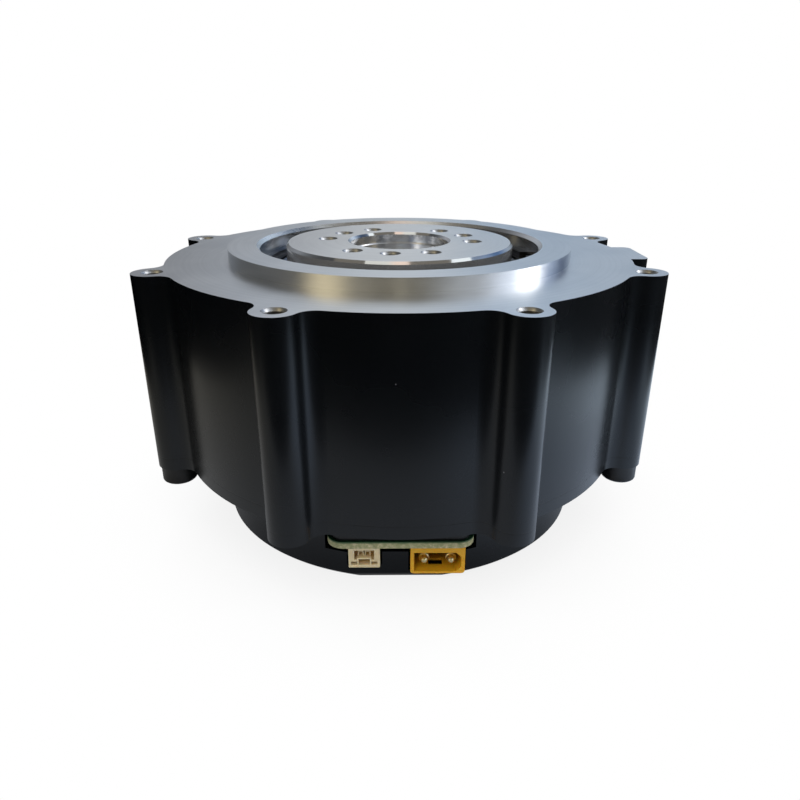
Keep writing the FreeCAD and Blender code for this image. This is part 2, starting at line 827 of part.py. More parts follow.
def rear_cover():
    body = turned(
        "rear_cover",
        [
            ("0", f"{cover_bottom} + cover_floor"),
            ("cover_bore", f"{cover_bottom} + cover_floor"),
            ("cover_bore", plate_bottom),
            ("cover_radius", plate_bottom),
            ("cover_radius", f"{cover_bottom} + cover_chamfer"),
            ("cover_radius - cover_chamfer", cover_bottom),
            ("0", cover_bottom),
        ],
    )
    # the flat, the slot for the board and an opening for each connector
    flat = new_sketch(body, "XY_Plane", plate_bottom)
    rectangle(flat, "-cover_radius", "cover_radius", "-cover_radius - overrun", "-cover_flat")
    pocket(body, flat, "cover_height")
    front_depth = "slot_cut_back + cover_flat - cover_bore + overrun"
    front = new_sketch(body, "XZ_Plane", "cover_bore - slot_cut_back")
    rectangle(front, "-slot_half_width", "slot_half_width", "-slot_bottom", plate_bottom)
    pocket(body, front, front_depth, upward=True)
    openings = (
        ("power_centre", "power_width", "power_height"),
        ("-signal_centre", "signal_width", "signal_height"),
    )
    for centre, width, height in openings:
        window = new_sketch(body, "XZ_Plane", "cover_bore - slot_cut_back")
        half = f"({width} / 2 + opening_gap)"
        bottom = f"{board_bottom} - {height} - opening_gap / 2"
        rectangle(window, f"{centre} - {half}", f"{centre} + {half}", bottom, "-slot_bottom + overrun")
        pocket(body, window, front_depth, upward=True)
    add_cover_bosses(body)


def add_cover_bosses(body):
    """Posts that clamp the board against its spacers, each drilled and countersunk for a small screw."""
    posts = new_sketch(body, "XY_Plane", f"{cover_bottom} + cover_floor", "180 / spacer_count")
    circle(posts, "spacer_circle", "0", "spacer_radius")
    around(body, pad(body, posts, f"{board_bottom} - {cover_bottom} - cover_floor"), "spacer_count")
    holes = new_sketch(body, "XY_Plane", board_bottom, "180 / spacer_count")
    circle(holes, "spacer_circle", "0", "cover_screw_radius")
    around(body, pocket(body, holes, f"{board_bottom} - {cover_bottom}"), "spacer_count")
    sinks = new_sketch(body, "XY_Plane", cover_bottom, "180 / spacer_count")
    circle(sinks, "spacer_circle", "0", "cover_screw_sink")
    cone = pocket(body, sinks, "cover_screw_sink - cover_screw_radius", upward=True)
    cone.TaperAngle = -45
    around(body, cone, "spacer_count")


def controller_board():
    """Round board with a tongue that reaches through the slot of the cover."""
    body = new_body("controller_board")
    shoulder_y = "-sqrt(board_radius^2 - board_half_width^2)"
    sketch = new_sketch(body, "XY_Plane", board_bottom)
    outline(
        sketch,
        [
            ("-board_half_width", shoulder_y),
            ("-board_half_width", "-board_reach + board_corner"),
            ("-board_half_width + board_corner", "-board_reach"),
            ("board_half_width - board_corner", "-board_reach"),
            ("board_half_width", "-board_reach + board_corner"),
            ("board_half_width", shoulder_y),
            ("board_radius", "0"),
            ("0", "board_radius"),
            ("-board_radius", "0"),
        ],
        {
            1: ("board_corner", "left"),
            3: ("board_corner", "left"),
            5: ("board_radius", "left"),
            6: ("board_radius", "left"),
            7: ("board_radius", "left"),
            8: ("board_radius", "left"),
        },
    )
    pad(body, sketch, "board_thick")


def power_connector():
    """Two-pin plug body hung under the board; two cut corners let a plug in one way round only."""
    left, right = "(power_centre - power_width / 2)", "(power_centre + power_width / 2)"
    low, high = f"({board_bottom} - power_height)", board_bottom
    shell = new_body("power_connector_shell")
    face = new_sketch(shell, "XZ_Plane", "board_reach - power_depth")
    outline(
        face,
        [
            (f"{left} + power_corner", low),
            (f"{right} - power_corner", low),
            (right, f"{low} + power_corner"),
            (right, high),
            (left, high),
            (left, f"{low} + power_corner"),
        ],
        {1: ("power_corner", "left"), 5: ("power_corner", "left")},
    )
    pad(shell, face, "power_depth")
    socket_left, socket_right = f"({left} + power_side_wall)", f"({right} - power_side_wall)"
    socket_low = f"({low} + power_bottom_wall)"
    socket_high = f"({socket_low} + power_socket_height)"
    socket = new_sketch(shell, "XZ_Plane", "board_reach")
    outline(
        socket,
        [
            (socket_left, socket_low),
            (f"{socket_right} - power_cut", socket_low),
            (socket_right, f"{socket_low} + power_cut"),
            (socket_right, f"{socket_high} - power_cut"),
            (f"{socket_right} - power_cut", socket_high),
            (socket_left, socket_high),
        ],
    )
    pocket(shell, socket, "power_socket_depth")
    slot = new_sketch(shell, "XY_Plane", socket_low)
    slot_back = "(power_slot_start + power_slot_length - board_reach)"
    slot_left, slot_right = "power_centre - power_slot_left", "power_centre + power_slot_right"
    rectangle(slot, slot_left, slot_right, "power_slot_start - board_reach", slot_back)
    pocket(shell, slot, "power_bottom_wall")
    pins = new_body("power_connector_pins")
    shoulder = "(power_socket_depth - power_pin_inset - power_tip_length)"
    tip = f"{shoulder} + power_tip_length"
    for radius, length in (("power_pin_radius", shoulder), ("power_tip_radius", tip)):
        ends = new_sketch(pins, "XZ_Plane", "board_reach - power_socket_depth")
        for side in "+-":
            centre_x = f"power_centre {side} power_pin_pitch / 2"
            circle(ends, centre_x, f"{socket_low} + power_socket_height / 2", radius)
        pad(pins, ends, length)


def signal_connector():
    """Small latching header under the board, open to the front."""
    low = f"({board_bottom} - signal_height)"
    shell = new_body("signal_connector_shell")
    face = new_sketch(shell, "XZ_Plane", "board_reach - signal_depth")
    half = "(signal_width / 2)"
    rectangle(face, f"-signal_centre - {half}", f"-signal_centre + {half}", low, board_bottom)
    pad(shell, face, "signal_depth")
    # the plug space with a notch at each lower corner
    ceiling = f"{board_bottom} - signal_wall"
    shelf, notch = f"{low} + signal_shelf_height", f"{low} + signal_notch_height"
    side = [
        ("signal_socket_half", ceiling),
        ("signal_socket_half", notch),
        ("signal_shelf_half", notch),
        ("signal_shelf_half", shelf),
    ]
    plug_space = new_sketch(shell, "XZ_Plane", "board_reach")
    right = [(f"-signal_centre + {x}", z) for x, z in side]
    left = [(f"-signal_centre - {x}", z) for x, z in side]
    outline(plug_space, right[::-1] + left)
    pocket(shell, plug_space, "signal_socket_depth")
    # the latch window below it and a slit at each side of that
    bottom = f"{low} + signal_latch_bottom"
    spaces = (
        ("-signal_latch_half", "signal_latch_half", "signal_latch_top"),
        ("-signal_slit_end", "-signal_slit_start", "signal_slit_top"),
        ("signal_slit_start", "signal_slit_end", "signal_slit_top"),
    )
    for x_low, x_high, top in spaces:
        space = new_sketch(shell, "XZ_Plane", "board_reach")
        rectangle(space, f"-signal_centre + {x_low}", f"-signal_centre + {x_high}", bottom, f"{low} + {top}")
        pocket(shell, space, "signal_socket_depth")
    contacts = new_body("signal_connector_contacts")
    ends = new_sketch(contacts, "XZ_Plane", "board_reach - signal_socket_depth")
    middle = f"({shelf} + {ceiling}) / 2"
    half_contact = "signal_contact / 2"
    for side in "+-":
        across = f"-signal_centre {side} signal_pitch / 2"
        x_low, x_high = f"{across} - {half_contact}", f"{across} + {half_contact}"
        rectangle(ends, x_low, x_high, f"{middle} - {half_contact}", f"{middle} + {half_contact}")
    pad(contacts, ends, "signal_socket_depth - signal_contact_inset")


def board_parts():
    """The sensor under the encoder magnet, the switching chips around it and the board's spacers."""
    sensor = new_body("encoder_sensor")
    sketch = new_sketch(sensor, "XY_Plane", "-board_top")
    rectangle(sketch, "-sensor_size / 2", "sensor_size / 2", "-sensor_size / 2", "sensor_size / 2")
    pad(sensor, sketch, "sensor_height")
    chips = new_body("power_chips")
    sketch = new_sketch(chips, "XY_Plane", "-board_top")
    x_low, x_high = "chip_circle - chip_size / 2", "chip_circle + chip_size / 2"
    rectangle(sketch, x_low, x_high, "-chip_size / 2", "chip_size / 2")
    around(chips, pad(chips, sketch, "chip_height"), "chip_count")
    spacers = new_body("board_spacers")
    sketch = new_sketch(spacers, "XY_Plane", "-board_top", "180 / spacer_count")
    circle(sketch, "spacer_circle", "0", "spacer_radius")
    around(spacers, pad(spacers, sketch, f"board_top + {plate_bottom}"), "spacer_count")


main_housing()
split_ring()
bearing_ring("output_bearing_outer_ring", "seat_radius", "+")
bearing_ring("output_bearing_inner_ring", "bearing_bore", "-")
bearing_rollers()
output_flange()
planet_carrier()
carrier_cover()
planet_pins()
planet_bushes()
ring_gear()
planet_gears()
sun_gear()
stator_core()
stator_coils()
phase_leads()
rotor_hub()
rotor_magnets()
rotor_bearing()
encoder_magnet()
rear_plate()
housing_screws()
rear_cover()
controller_board()
board_parts()
power_connector()
signal_connector()

doc.recompute()
for item in doc.Objects:
    if "Invalid" in item.State or "Error" in item.State:
        raise RuntimeError(f"{item.Name} is {item.State}")
os.makedirs("parts", exist_ok=True)
for item in subparts:
    if item.Shape.isNull() or not item.Shape.isValid():
        raise RuntimeError(f"{item.Label} has no valid shape")
    item.Shape.exportStep(f"parts/{item.Label}.step")
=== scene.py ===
import json
import math

import bmesh
import bpy
from bpy.props import FloatProperty, FloatVectorProperty, PointerProperty
from bpy.types import NodeSocket, Operator, Panel, PropertyGroup, Scene
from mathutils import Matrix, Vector

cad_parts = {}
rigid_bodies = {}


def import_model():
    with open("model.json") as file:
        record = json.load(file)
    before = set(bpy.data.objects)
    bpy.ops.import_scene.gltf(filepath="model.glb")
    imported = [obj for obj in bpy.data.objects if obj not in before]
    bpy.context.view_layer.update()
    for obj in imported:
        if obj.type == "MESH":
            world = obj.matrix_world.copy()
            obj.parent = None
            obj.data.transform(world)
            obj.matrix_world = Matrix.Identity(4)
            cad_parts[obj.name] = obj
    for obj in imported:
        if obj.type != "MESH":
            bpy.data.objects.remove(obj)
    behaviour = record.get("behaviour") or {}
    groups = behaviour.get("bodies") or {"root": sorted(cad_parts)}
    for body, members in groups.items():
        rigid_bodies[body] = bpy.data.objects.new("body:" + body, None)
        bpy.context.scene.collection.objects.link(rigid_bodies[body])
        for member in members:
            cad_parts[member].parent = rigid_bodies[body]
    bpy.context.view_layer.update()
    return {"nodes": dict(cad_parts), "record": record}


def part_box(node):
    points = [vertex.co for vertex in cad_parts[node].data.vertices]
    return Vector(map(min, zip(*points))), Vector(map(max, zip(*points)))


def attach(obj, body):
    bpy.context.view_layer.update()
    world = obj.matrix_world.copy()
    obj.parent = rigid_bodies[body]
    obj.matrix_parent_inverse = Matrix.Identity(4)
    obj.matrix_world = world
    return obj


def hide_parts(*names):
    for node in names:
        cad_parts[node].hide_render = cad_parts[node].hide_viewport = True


bl_info = {
    "name": "Joint actuator dressing",
    "version": (1, 0, 0),
    "blender": (4, 5, 0),
    "location": "3D View > Sidebar > Actuator",
    "description": "Finishes, screws, threads and connectors for a robot joint actuator",
    "category": "Object",
}

for leftover in list(bpy.data.objects):
    bpy.data.objects.remove(leftover)

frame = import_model()
NODES = frame["nodes"]
SUBPARTS = frame["record"]["subparts"]
MOUNTS = {mount["name"]: mount for mount in frame["record"]["mounts"]}
MM = 0.001


def mount_size(name, key):
    """A size of one of the record's mounts, in metres."""
    return MOUNTS[name]["dims"][key] * MM


EAR_CIRCLE = mount_size("housing_ears", "pcd_mm") / 2
EAR_COUNT = 8
EAR_HOLE = mount_size("housing_ears", "hole_r_mm")
OUTPUT_CIRCLE = mount_size("output_bolts", "pcd_mm") / 2
SPIGOT_RADIUS = mount_size("front_spigot", "r_mm")
FLANGE_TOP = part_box("output_flange")[1].z
PLATE_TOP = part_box("main_housing")[0].z
PLATE_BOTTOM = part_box("rear_plate")[0].z
BOARD_LOW, BOARD_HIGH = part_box("controller_board")
SCREWS_LOW, SCREWS_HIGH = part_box("housing_screws")
COVER_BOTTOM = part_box("rear_cover")[0].z


def length(name, default, description):
    return FloatProperty(name=name, default=default, description=description, unit="LENGTH", precision=5)


def degrees(name, default, description):
    return FloatProperty(name=name, default=math.radians(default), description=description, subtype="ANGLE")


def colour(name, default, description):
    return FloatVectorProperty(
        name=name, default=default, description=description, subtype="COLOR", size=3, min=0, max=1
    )


def amount(name, default, description):
    return FloatProperty(name=name, default=default, description=description, subtype="FACTOR", min=0, max=1)


class ActuatorSizes(PropertyGroup):
    ear_circle: length("Ear circle", EAR_CIRCLE, "Radius of the circle of ear holes")
    ear_start: degrees("First ear", 22.5, "Angle of the first ear hole")
    thread_radius: length("Thread radius", EAR_HOLE, "Radius of the threaded holes")
    thread_pitch: length("Thread pitch", 0.7 * MM, "Distance between two turns of a thread")
    thread_depth: length("Thread depth", 0.36 * MM, "Depth of the thread's groove")
    output_circle: length("Output circle", OUTPUT_CIRCLE, "Radius of the circle of output holes")
    output_start: degrees("First output hole", -7, "Angle of that hole")
    head_radius: length("Screw head", 3.4 * MM, "Radius of a cap screw's head")
    head_height: length("Screw head height", PLATE_BOTTOM - SCREWS_LOW.z, "Height of that head")
    shank_radius: length("Screw shank", 1.65 * MM, "Radius of a cap screw's shank")
    shank_length: length("Screw length", SCREWS_HIGH.z - PLATE_BOTTOM, "Length of a cap screw's shank")
    head_chamfer: length("Screw head chamfer", 0.35 * MM, "Chamfer round a cap screw's head")
    key_width: length("Key width", 3.0 * MM, "Width across the flats of a cap screw's socket")
    knurl: length("Knurl", 0.07 * MM, "Depth of the knurling on a cap screw's head")
    cover_circle: length("Cover screw circle", 29.0 * MM, "Radius of the circle of cover screws")
    cover_head: length("Cover screw head", 2.4 * MM, "Radius of a countersunk head")
    cover_shank: length("Cover screw shank", 1.2 * MM, "Radius of a countersunk screw's shank")
    cover_key: length("Cover key width", 1.5 * MM, "Width across the flats of a countersunk screw's socket")
    moulded_edge: length("Moulded edge", 0.12 * MM, "Rounding of the power connector's edges")
    # the board's pad: a thin black sheet laid on it as painted shade in the gap above it
    painted_shade_sheet_inset: length("Painted shade sheet inset", 0.5 * MM, "How far the board stands out past its black sheet of painted shade")
    painted_shade_sheet_thickness: length("Painted shade sheet thickness", 1.6 * MM, "Thickness of the black sheet of painted shade on the board")


class ActuatorFinishes(PropertyGroup):
    anodise: colour("Anodising", (0.0011, 0.0016, 0.0023), "Black anodised aluminium")
    bare: colour("Bare aluminium", (0.72, 0.72, 0.72), "Turned aluminium faces")
    bearing: colour("Bearing steel", (0.42, 0.425, 0.43), "Ground bearing rings and rollers")
    amber: colour("Amber plastic", (0.66, 0.35, 0.015), "Power connector")
    cream: colour("Cream plastic", (0.66, 0.56, 0.36), "Signal connector")
    mask: colour("Solder mask", (0.008, 0.05, 0.018), "Face of the controller board")
    laminate: colour("Laminate", (0.29, 0.31, 0.15), "Cut edge of the controller board")
    gold: colour("Gold plating", (1.0, 0.83, 0.5), "Contact pins")
    satin: amount("Anodised roughness", 0.27, "Roughness of the anodised surface")
    turned: amount("Turned roughness", 0.32, "Roughness of the turned faces")
    bored: amount("Bored roughness", 0.13, "Roughness of the turned and bored round walls")


class ActuatorStage(PropertyGroup):
    floor_size: length("Floor", 6.0, "Width of the floor")
    lens: FloatProperty(name="Lens", default=30.17, description="Focal length in millimetres", min=1)
    key_power: FloatProperty(name="Key lamp", default=3.2, description="Power of the key lamp", unit="POWER")
    fill: amount("Fill", 0.5, "Grey light from all round")


class Nodes:
    """An empty node tree, and short ways to add nodes to it."""

    def __init__(self, owner):
        owner.use_nodes = True
        self.tree = owner.node_tree
        self.tree.nodes.clear()

    def node(self, kind, inputs=None, **settings):
        """A new node with its settings, and with its inputs filled by their names."""
        made = self.tree.nodes.new(kind)
        for key, value in settings.items():
            setattr(made, key, value)
        for key, value in (inputs or {}).items():
            self.put(made.inputs[key], value)
        return made

    def put(self, socket, value):
        """Gives a socket a plain value, or links another node to it."""
        if isinstance(value, NodeSocket):
            self.tree.links.new(value, socket)
        else:
            socket.default_value = value

    def result(self, kind, *values, **settings):
        """The first output of a new node whose inputs are filled in order; None leaves one as it is."""
        filled = {place: value for place, value in enumerate(values) if value is not None}
        return self.node(kind, filled, **settings).outputs[0]

    def split(self, value):
        return self.node("ShaderNodeSeparateXYZ", {0: value}).outputs[:]

    def join(self, *values):
        return self.result("ShaderNodeCombineXYZ", *values)

    def maths(self, operation, *values):
        return self.result("ShaderNodeMath", *values, operation=operation)

    def times(self, first, second):
        return self.maths("MULTIPLY", first, second)

    def plus(self, first, second):
        return self.maths("ADD", first, second)

    def minus(self, first, second):
        return self.maths("SUBTRACT", first, second)

    def over(self, value, limit):
        return self.maths("GREATER_THAN", value, limit)

    def under(self, value, limit):
        return self.maths("LESS_THAN", value, limit)

    def either(self, first, second):
        return self.maths("MAXIMUM", first, second)

    def seen_white(self):
        """1 for the rays that see a white background: those of the eye, of reflections and of glass."""
        path = self.node("ShaderNodeLightPath").outputs
        seen = self.either(path["Is Camera Ray"], path["Is Glossy Ray"])
        return self.either(seen, path["Is Transmission Ray"])


class Finish(Nodes):
    """A material with a main shader, the place on the object, and the noise and relief of its surface."""

    def __init__(self, name, **values):
        self.material = bpy.data.materials.new(name)
        super().__init__(self.material)
        named = {key.replace("_", " ").title().replace("Ior", "IOR"): value for key, value in values.items()}
        self.shader = self.node("ShaderNodeBsdfPrincipled", named)
        self.output = self.node("ShaderNodeOutputMaterial", {"Surface": self.shader.outputs["BSDF"]})
        self.place = self.node("ShaderNodeTexCoord").outputs["Object"]
        self.across, self.depth, self.height = x, y, _ = self.split(self.place)
        self.radius = self.maths("SQRT", self.plus(self.times(x, x), self.times(y, y)))
        self.angle = self.maths("ARCTAN2", y, x)
        self.facing_up = self.split(self.node("ShaderNodeTexCoord").outputs["Normal"])[2]
        self.tilt = self.maths("ABSOLUTE", self.facing_up)

    def span(self, *numbers):
        """Carries a value from one range to another, or to 0 and 1, and stops smoothly at its ends."""
        return self.result("ShaderNodeMapRange", *numbers, interpolation_type="SMOOTHSTEP")

    def noise(self, size, detail=2.0, roughness=0.5, place=None):
        """Soft noise with features of the given size."""
        values = {"Vector": place or self.place, "Scale": 1 / size, "Detail": detail, "Roughness": roughness}
        return self.node("ShaderNodeTexNoise", values).outputs["Fac"]

    def uneven(self, noise, low, high):
        """A value that wanders between two others with the noise."""
        return self.span(noise, 0.3, 0.7, low, high)

    def waves(self, value, spacing):
        """Swings between -1 and 1 as the value grows, once in each spacing."""
        return self.maths("SINE", self.times(value, 2 * math.pi / spacing))

    def shadow(self, distance):
        """1 in the open, and less where other things stand within the distance."""
        return self.node("ShaderNodeAmbientOcclusion", {"Distance": distance}, samples=8).outputs["AO"]

    def tinted(self, tone, colour):
        """The colour, lighter or darker with the tone."""
        return self.join(*[self.times(tone, part) for part in colour])

    def blend(self, factor, first, second):
        """The first colour where the factor is 0 and the second where it is 1."""
        made = self.node("ShaderNodeMix", data_type="RGBA")
        sockets = {socket.identifier: socket for socket in (*made.inputs, *made.outputs)}
        for name, value in (("Factor_Float", factor), ("A_Color", first), ("B_Color", second)):
            self.put(sockets[name], (*value, 1) if isinstance(value, tuple) else value)
        return sockets["Result_Color"]

    def bump(self, height, distance, strength, normal=None):
        values = {"Height": height, "Distance": distance, "Strength": strength}
        if normal is not None:
            values["Normal"] = normal
        return self.node("ShaderNodeBump", values).outputs["Normal"]

    def rings(self, spacing):
        """Fine concentric lines left by a turning tool."""
        waver = 0.12
        across, down = self.times(self.radius, 1 / spacing), self.times(self.height, 1 / spacing)
        place = self.join(across, self.times(self.angle, waver), down)
        return self.noise(1.0, detail=3, roughness=0.6, place=place)

    def round_grain(self):
        """Stretches the highlight across the lines that run round the axis."""
        made = self.node("ShaderNodeTangent", direction_type="RADIAL", axis="Z")
        self.put(self.shader.inputs["Tangent"], made.outputs[0])

    def wear(self, colour, rough, normal):
        """Gives the shader its colour, its roughness and its fine relief, and returns the material."""
        for name, value in (("Base Color", colour), ("Roughness", rough), ("Normal", normal)):
            self.put(self.shader.inputs[name], value)
        return self.material


def shades(colour, *factors):
    """Lighter or darker versions of the colour."""
    return [tuple(min(1.0, factor * part) for part in colour) for factor in factors]


def turned_marks(finish, finishes, chamfer):
    """Colour and roughness of turned aluminium: tool lines and faint smudges, with glossier round walls."""
    lines = finish.rings(0.6 * MM)
    smudge = finish.noise(14 * MM, detail=3)
    tone = finish.times(finish.uneven(lines, 0.96, 1.02), finish.span(smudge, 0.35, 0.65, 0.93, 1.02))
    level, sloped = finish.span(finish.tilt, 0.75, 0.95), finish.span(finish.tilt, 0.4, 0.6)
    faces = finish.times(level, finishes.turned - finishes.bored)
    walls = finish.uneven(smudge, finishes.bored - 0.02, finishes.bored + 0.04)
    edges = finish.times(finish.minus(sloped, level), chamfer - finishes.bored)
    return finish.tinted(tone, finishes.bare), finish.plus(finish.plus(faces, walls), edges), lines


def bare_aluminium(name, finishes):
    """Turned aluminium, with a soft long highlight."""
    finish = Finish(name, metallic=0.95, anisotropic=0.3)
    grey, rough, lines = turned_marks(finish, finishes, finishes.bored - 0.06)
    # the outer wall is finished more coarsely and scatters more light
    outer_wall = finish.times(finish.over(finish.radius, 20 * MM), finish.under(finish.tilt, 0.4))
    finish.put(finish.shader.inputs["Metallic"], finish.span(outer_wall, 0, 1, 0.95, 0.86))
    finish.round_grain()
    return finish.wear(grey, rough, finish.bump(lines, 0.002 * MM, 0.3))


def black_surface(finish, finishes):
    """Colour, roughness and relief of satin black anodising, with a little dust and the plate's seam."""
    cloud = finish.noise(18 * MM, detail=3)
    black = finish.blend(cloud, *shades(finishes.anodise, 0.85, 1.15))
    # single grains of dust and lint
    cells = finish.node("ShaderNodeTexVoronoi", {"Vector": finish.place, "Scale": 1 / (5.5 * MM)})
    near = finish.under(cells.outputs["Distance"], 0.02)
    chosen = finish.over(finish.split(cells.outputs["Color"])[0], 0.72)
    black = finish.blend(finish.times(near, chosen), black, (0.12, 0.12, 0.13))
    # the joint between the housing and its rear plate shows as a fine dark line
    away = finish.maths("ABSOLUTE", finish.minus(finish.height, PLATE_TOP))
    seam = finish.span(away, 0.03 * MM, 0.09 * MM, 0.25, 1.0)
    black = finish.blend(seam, (0.001, 0.001, 0.001), black)
    rough = finish.uneven(cloud, finishes.satin - 0.03, finishes.satin + 0.03)
    grain = finish.noise(0.16 * MM, detail=1)
    return black, rough, finish.bump(grain, 0.002 * MM, 0.3, finish.bump(seam, 0.05 * MM, 0.5))


def bare_places(finish):
    """1 on the turned front faces, the raised ring and the walls of the ear holes, and 0 elsewhere."""
    on_top = finish.times(finish.over(finish.facing_up, 0.6), finish.over(finish.height, -0.6 * MM))
    above = finish.over(finish.height, -12 * MM)
    ring = finish.times(finish.under(finish.radius, SPIGOT_RADIUS + 0.3 * MM), above)
    # the ear holes are drilled after anodising; each place is turned round to the hole nearest to it
    half_step = math.pi / EAR_COUNT
    turn = finish.maths("WRAP", finish.minus(finish.angle, half_step), half_step, -half_step)
    along = finish.minus(finish.times(finish.radius, finish.maths("COSINE", turn)), EAR_CIRCLE)
    beside = finish.times(finish.radius, finish.maths("SINE", turn))
    reach = finish.plus(finish.times(along, along), finish.times(beside, beside))
    drilled = finish.under(reach, (EAR_HOLE + 0.1 * MM) ** 2)
    return finish.either(finish.either(on_top, ring), finish.times(drilled, above))


def anodised(name, finishes, bare_faces=False):
    """Satin black anodising; the turned faces and holes of the housing are left bare."""
    finish = Finish(name, specular_ior_level=0.45, specular_tint=(0.92, 0.96, 1.0, 1))
    black, rough, relief = black_surface(finish, finishes)
    if not bare_faces:
        return finish.wear(black, rough, relief)
    grey, bare_rough, _ = turned_marks(finish, finishes, finishes.bored + 0.12)
    bare = bare_places(finish)
    finish.put(finish.shader.inputs["Metallic"], finish.times(bare, 0.95))
    finish.put(finish.shader.inputs["Anisotropic"], 0.3)
    finish.round_grain()
    mixed_rough = finish.result("ShaderNodeMix", bare, None, rough, bare_rough, data_type="FLOAT")
    return finish.wear(finish.blend(bare, black, grey), mixed_rough, relief)


def ground_steel(name, colour, rough, stain=0.5):
    """Steel with turning or grinding lines round its axis."""
    finish = Finish(name, metallic=1.0, anisotropic=0.4)
    lines = finish.rings(0.3 * MM)
    cloud = finish.noise(6 * MM, detail=4)
    tone = finish.times(finish.uneven(lines, 0.88, 1.06), finish.uneven(cloud, 1 - 0.2 * stain, 1.0))
    finish.round_grain()
    dull = finish.uneven(cloud, rough - 0.04, rough + 0.06)
    return finish.wear(finish.tinted(tone, colour), dull, finish.bump(lines, 0.002 * MM, 0.4))


def mottled(finish, cloud, tones, rough, grain, relief, strength=0.4):
    """A surface whose tone and roughness wander together, each between two values, with a fine grain."""
    fine = finish.bump(finish.noise(grain), relief, strength)
    return finish.wear(finish.blend(cloud, *tones), finish.uneven(cloud, *rough), fine)


def plain_metal(name, colour, rough, grain=0.12 * MM):
    """Metal with fine even grain and slight tarnish."""
    finish = Finish(name, metallic=1.0)
    tones, rough = shades(colour, 0.8, 1.12), (rough - 0.05, rough + 0.06)
    return mottled(finish, finish.noise(2.5 * MM, detail=4), tones, rough, grain, 0.002 * MM)


def black_oxide(name):
    """Blackened steel with a slightly cloudy sheen."""
    finish = Finish(name, specular_ior_level=0.4)
    tones = (0.0015, 0.0015, 0.0016), (0.004, 0.004, 0.0045)
    return mottled(finish, finish.noise(1.6 * MM, detail=4), tones, (0.3, 0.42), 0.1 * MM, 0.003 * MM)


def thread_with_painted_shade(name, top):
    """Bright metal at the edge of a hole, with turns of thread below darkened by painted shade."""
    finish = Finish(name, metallic=1.0)
    cloud = finish.noise(1.2 * MM, detail=3)
    bright = finish.blend(cloud, (0.42, 0.42, 0.42), (0.56, 0.56, 0.55))
    # painted shade: the metal's colour grows darker deeper in the hole
    dark_tone_and_painted_shade = finish.blend(cloud, (0.06, 0.05, 0.038), (0.11, 0.09, 0.065))
    fading = finish.blend(finish.span(finish.height, top - 1.3 * MM, top - 0.4 * MM), dark_tone_and_painted_shade, bright)
    rough = finish.span(finish.height, top - 0.6 * MM, top - 0.4 * MM, 0.45, 0.42)
    return finish.wear(fading, rough, finish.bump(finish.noise(0.12 * MM), 0.002 * MM, 0.3))


def layered(finish, layer, colour, dark, bright, rough, depth, strength):
    """A surface of layers with a dark groove between each two."""
    cloud = finish.noise(3 * MM, detail=3)
    tone = finish.times(finish.span(layer, -1, *dark, 1.0), finish.uneven(cloud, 0.8, bright))
    return finish.wear(finish.tinted(tone, colour), rough, finish.bump(layer, depth, strength))


def stacked_sheets(name):
    """Stamped steel sheets, one on another."""
    finish = Finish(name, metallic=0.7)
    sheet = finish.waves(finish.height, 0.5 * MM)
    return layered(finish, sheet, (0.16, 0.16, 0.175), (0.2, 0.5), 1.1, 0.45, 0.03 * MM, 0.7)


def wound_wire(name):
    """Enamelled copper wire laid side by side."""
    finish = Finish(name, metallic=0.85, coat_weight=0.5, coat_roughness=0.15)
    turn = finish.waves(finish.radius, 0.45 * MM)
    return layered(finish, turn, (0.62, 0.22, 0.08), (0.4, 0.45), 1.15, 0.32, 0.08 * MM, 0.8)


WARM_SCATTER = (1.0, 0.85, 0.6)


def moulded(name, colour, rough=0.4, glow=0.0):
    """Moulded plastic with a slightly uneven tone and a fine eroded surface."""
    finish = Finish(name, subsurface_weight=glow, subsurface_scale=0.4 * MM, subsurface_radius=WARM_SCATTER)
    tones, rough = shades(colour, 0.9, 1.1), (rough - 0.05, rough + 0.06)
    return mottled(finish, finish.noise(3 * MM, detail=3), tones, rough, 0.09 * MM, 0.003 * MM, 0.5)


def nylon(name, colour, mottle, dark_tone_and_painted_shade, reach, rough, grain, relief, **shine):
    """Nylon with painted shade that darkens it towards the back of its socket, between the two places and
    amounts of reach.
    """
    finish = Finish(name, **shine)
    cloud = finish.noise(2 * MM, detail=3)
    outside = finish.blend(cloud, *shades(colour, *mottle))
    # painted shade: the colour darkens towards the back of the socket
    painted_shade_amount = finish.span(finish.depth, *reach)
    fine = finish.bump(finish.noise(grain), relief, 0.4)
    return finish.wear(finish.blend(painted_shade_amount, outside, dark_tone_and_painted_shade), finish.uneven(cloud, *rough), fine)


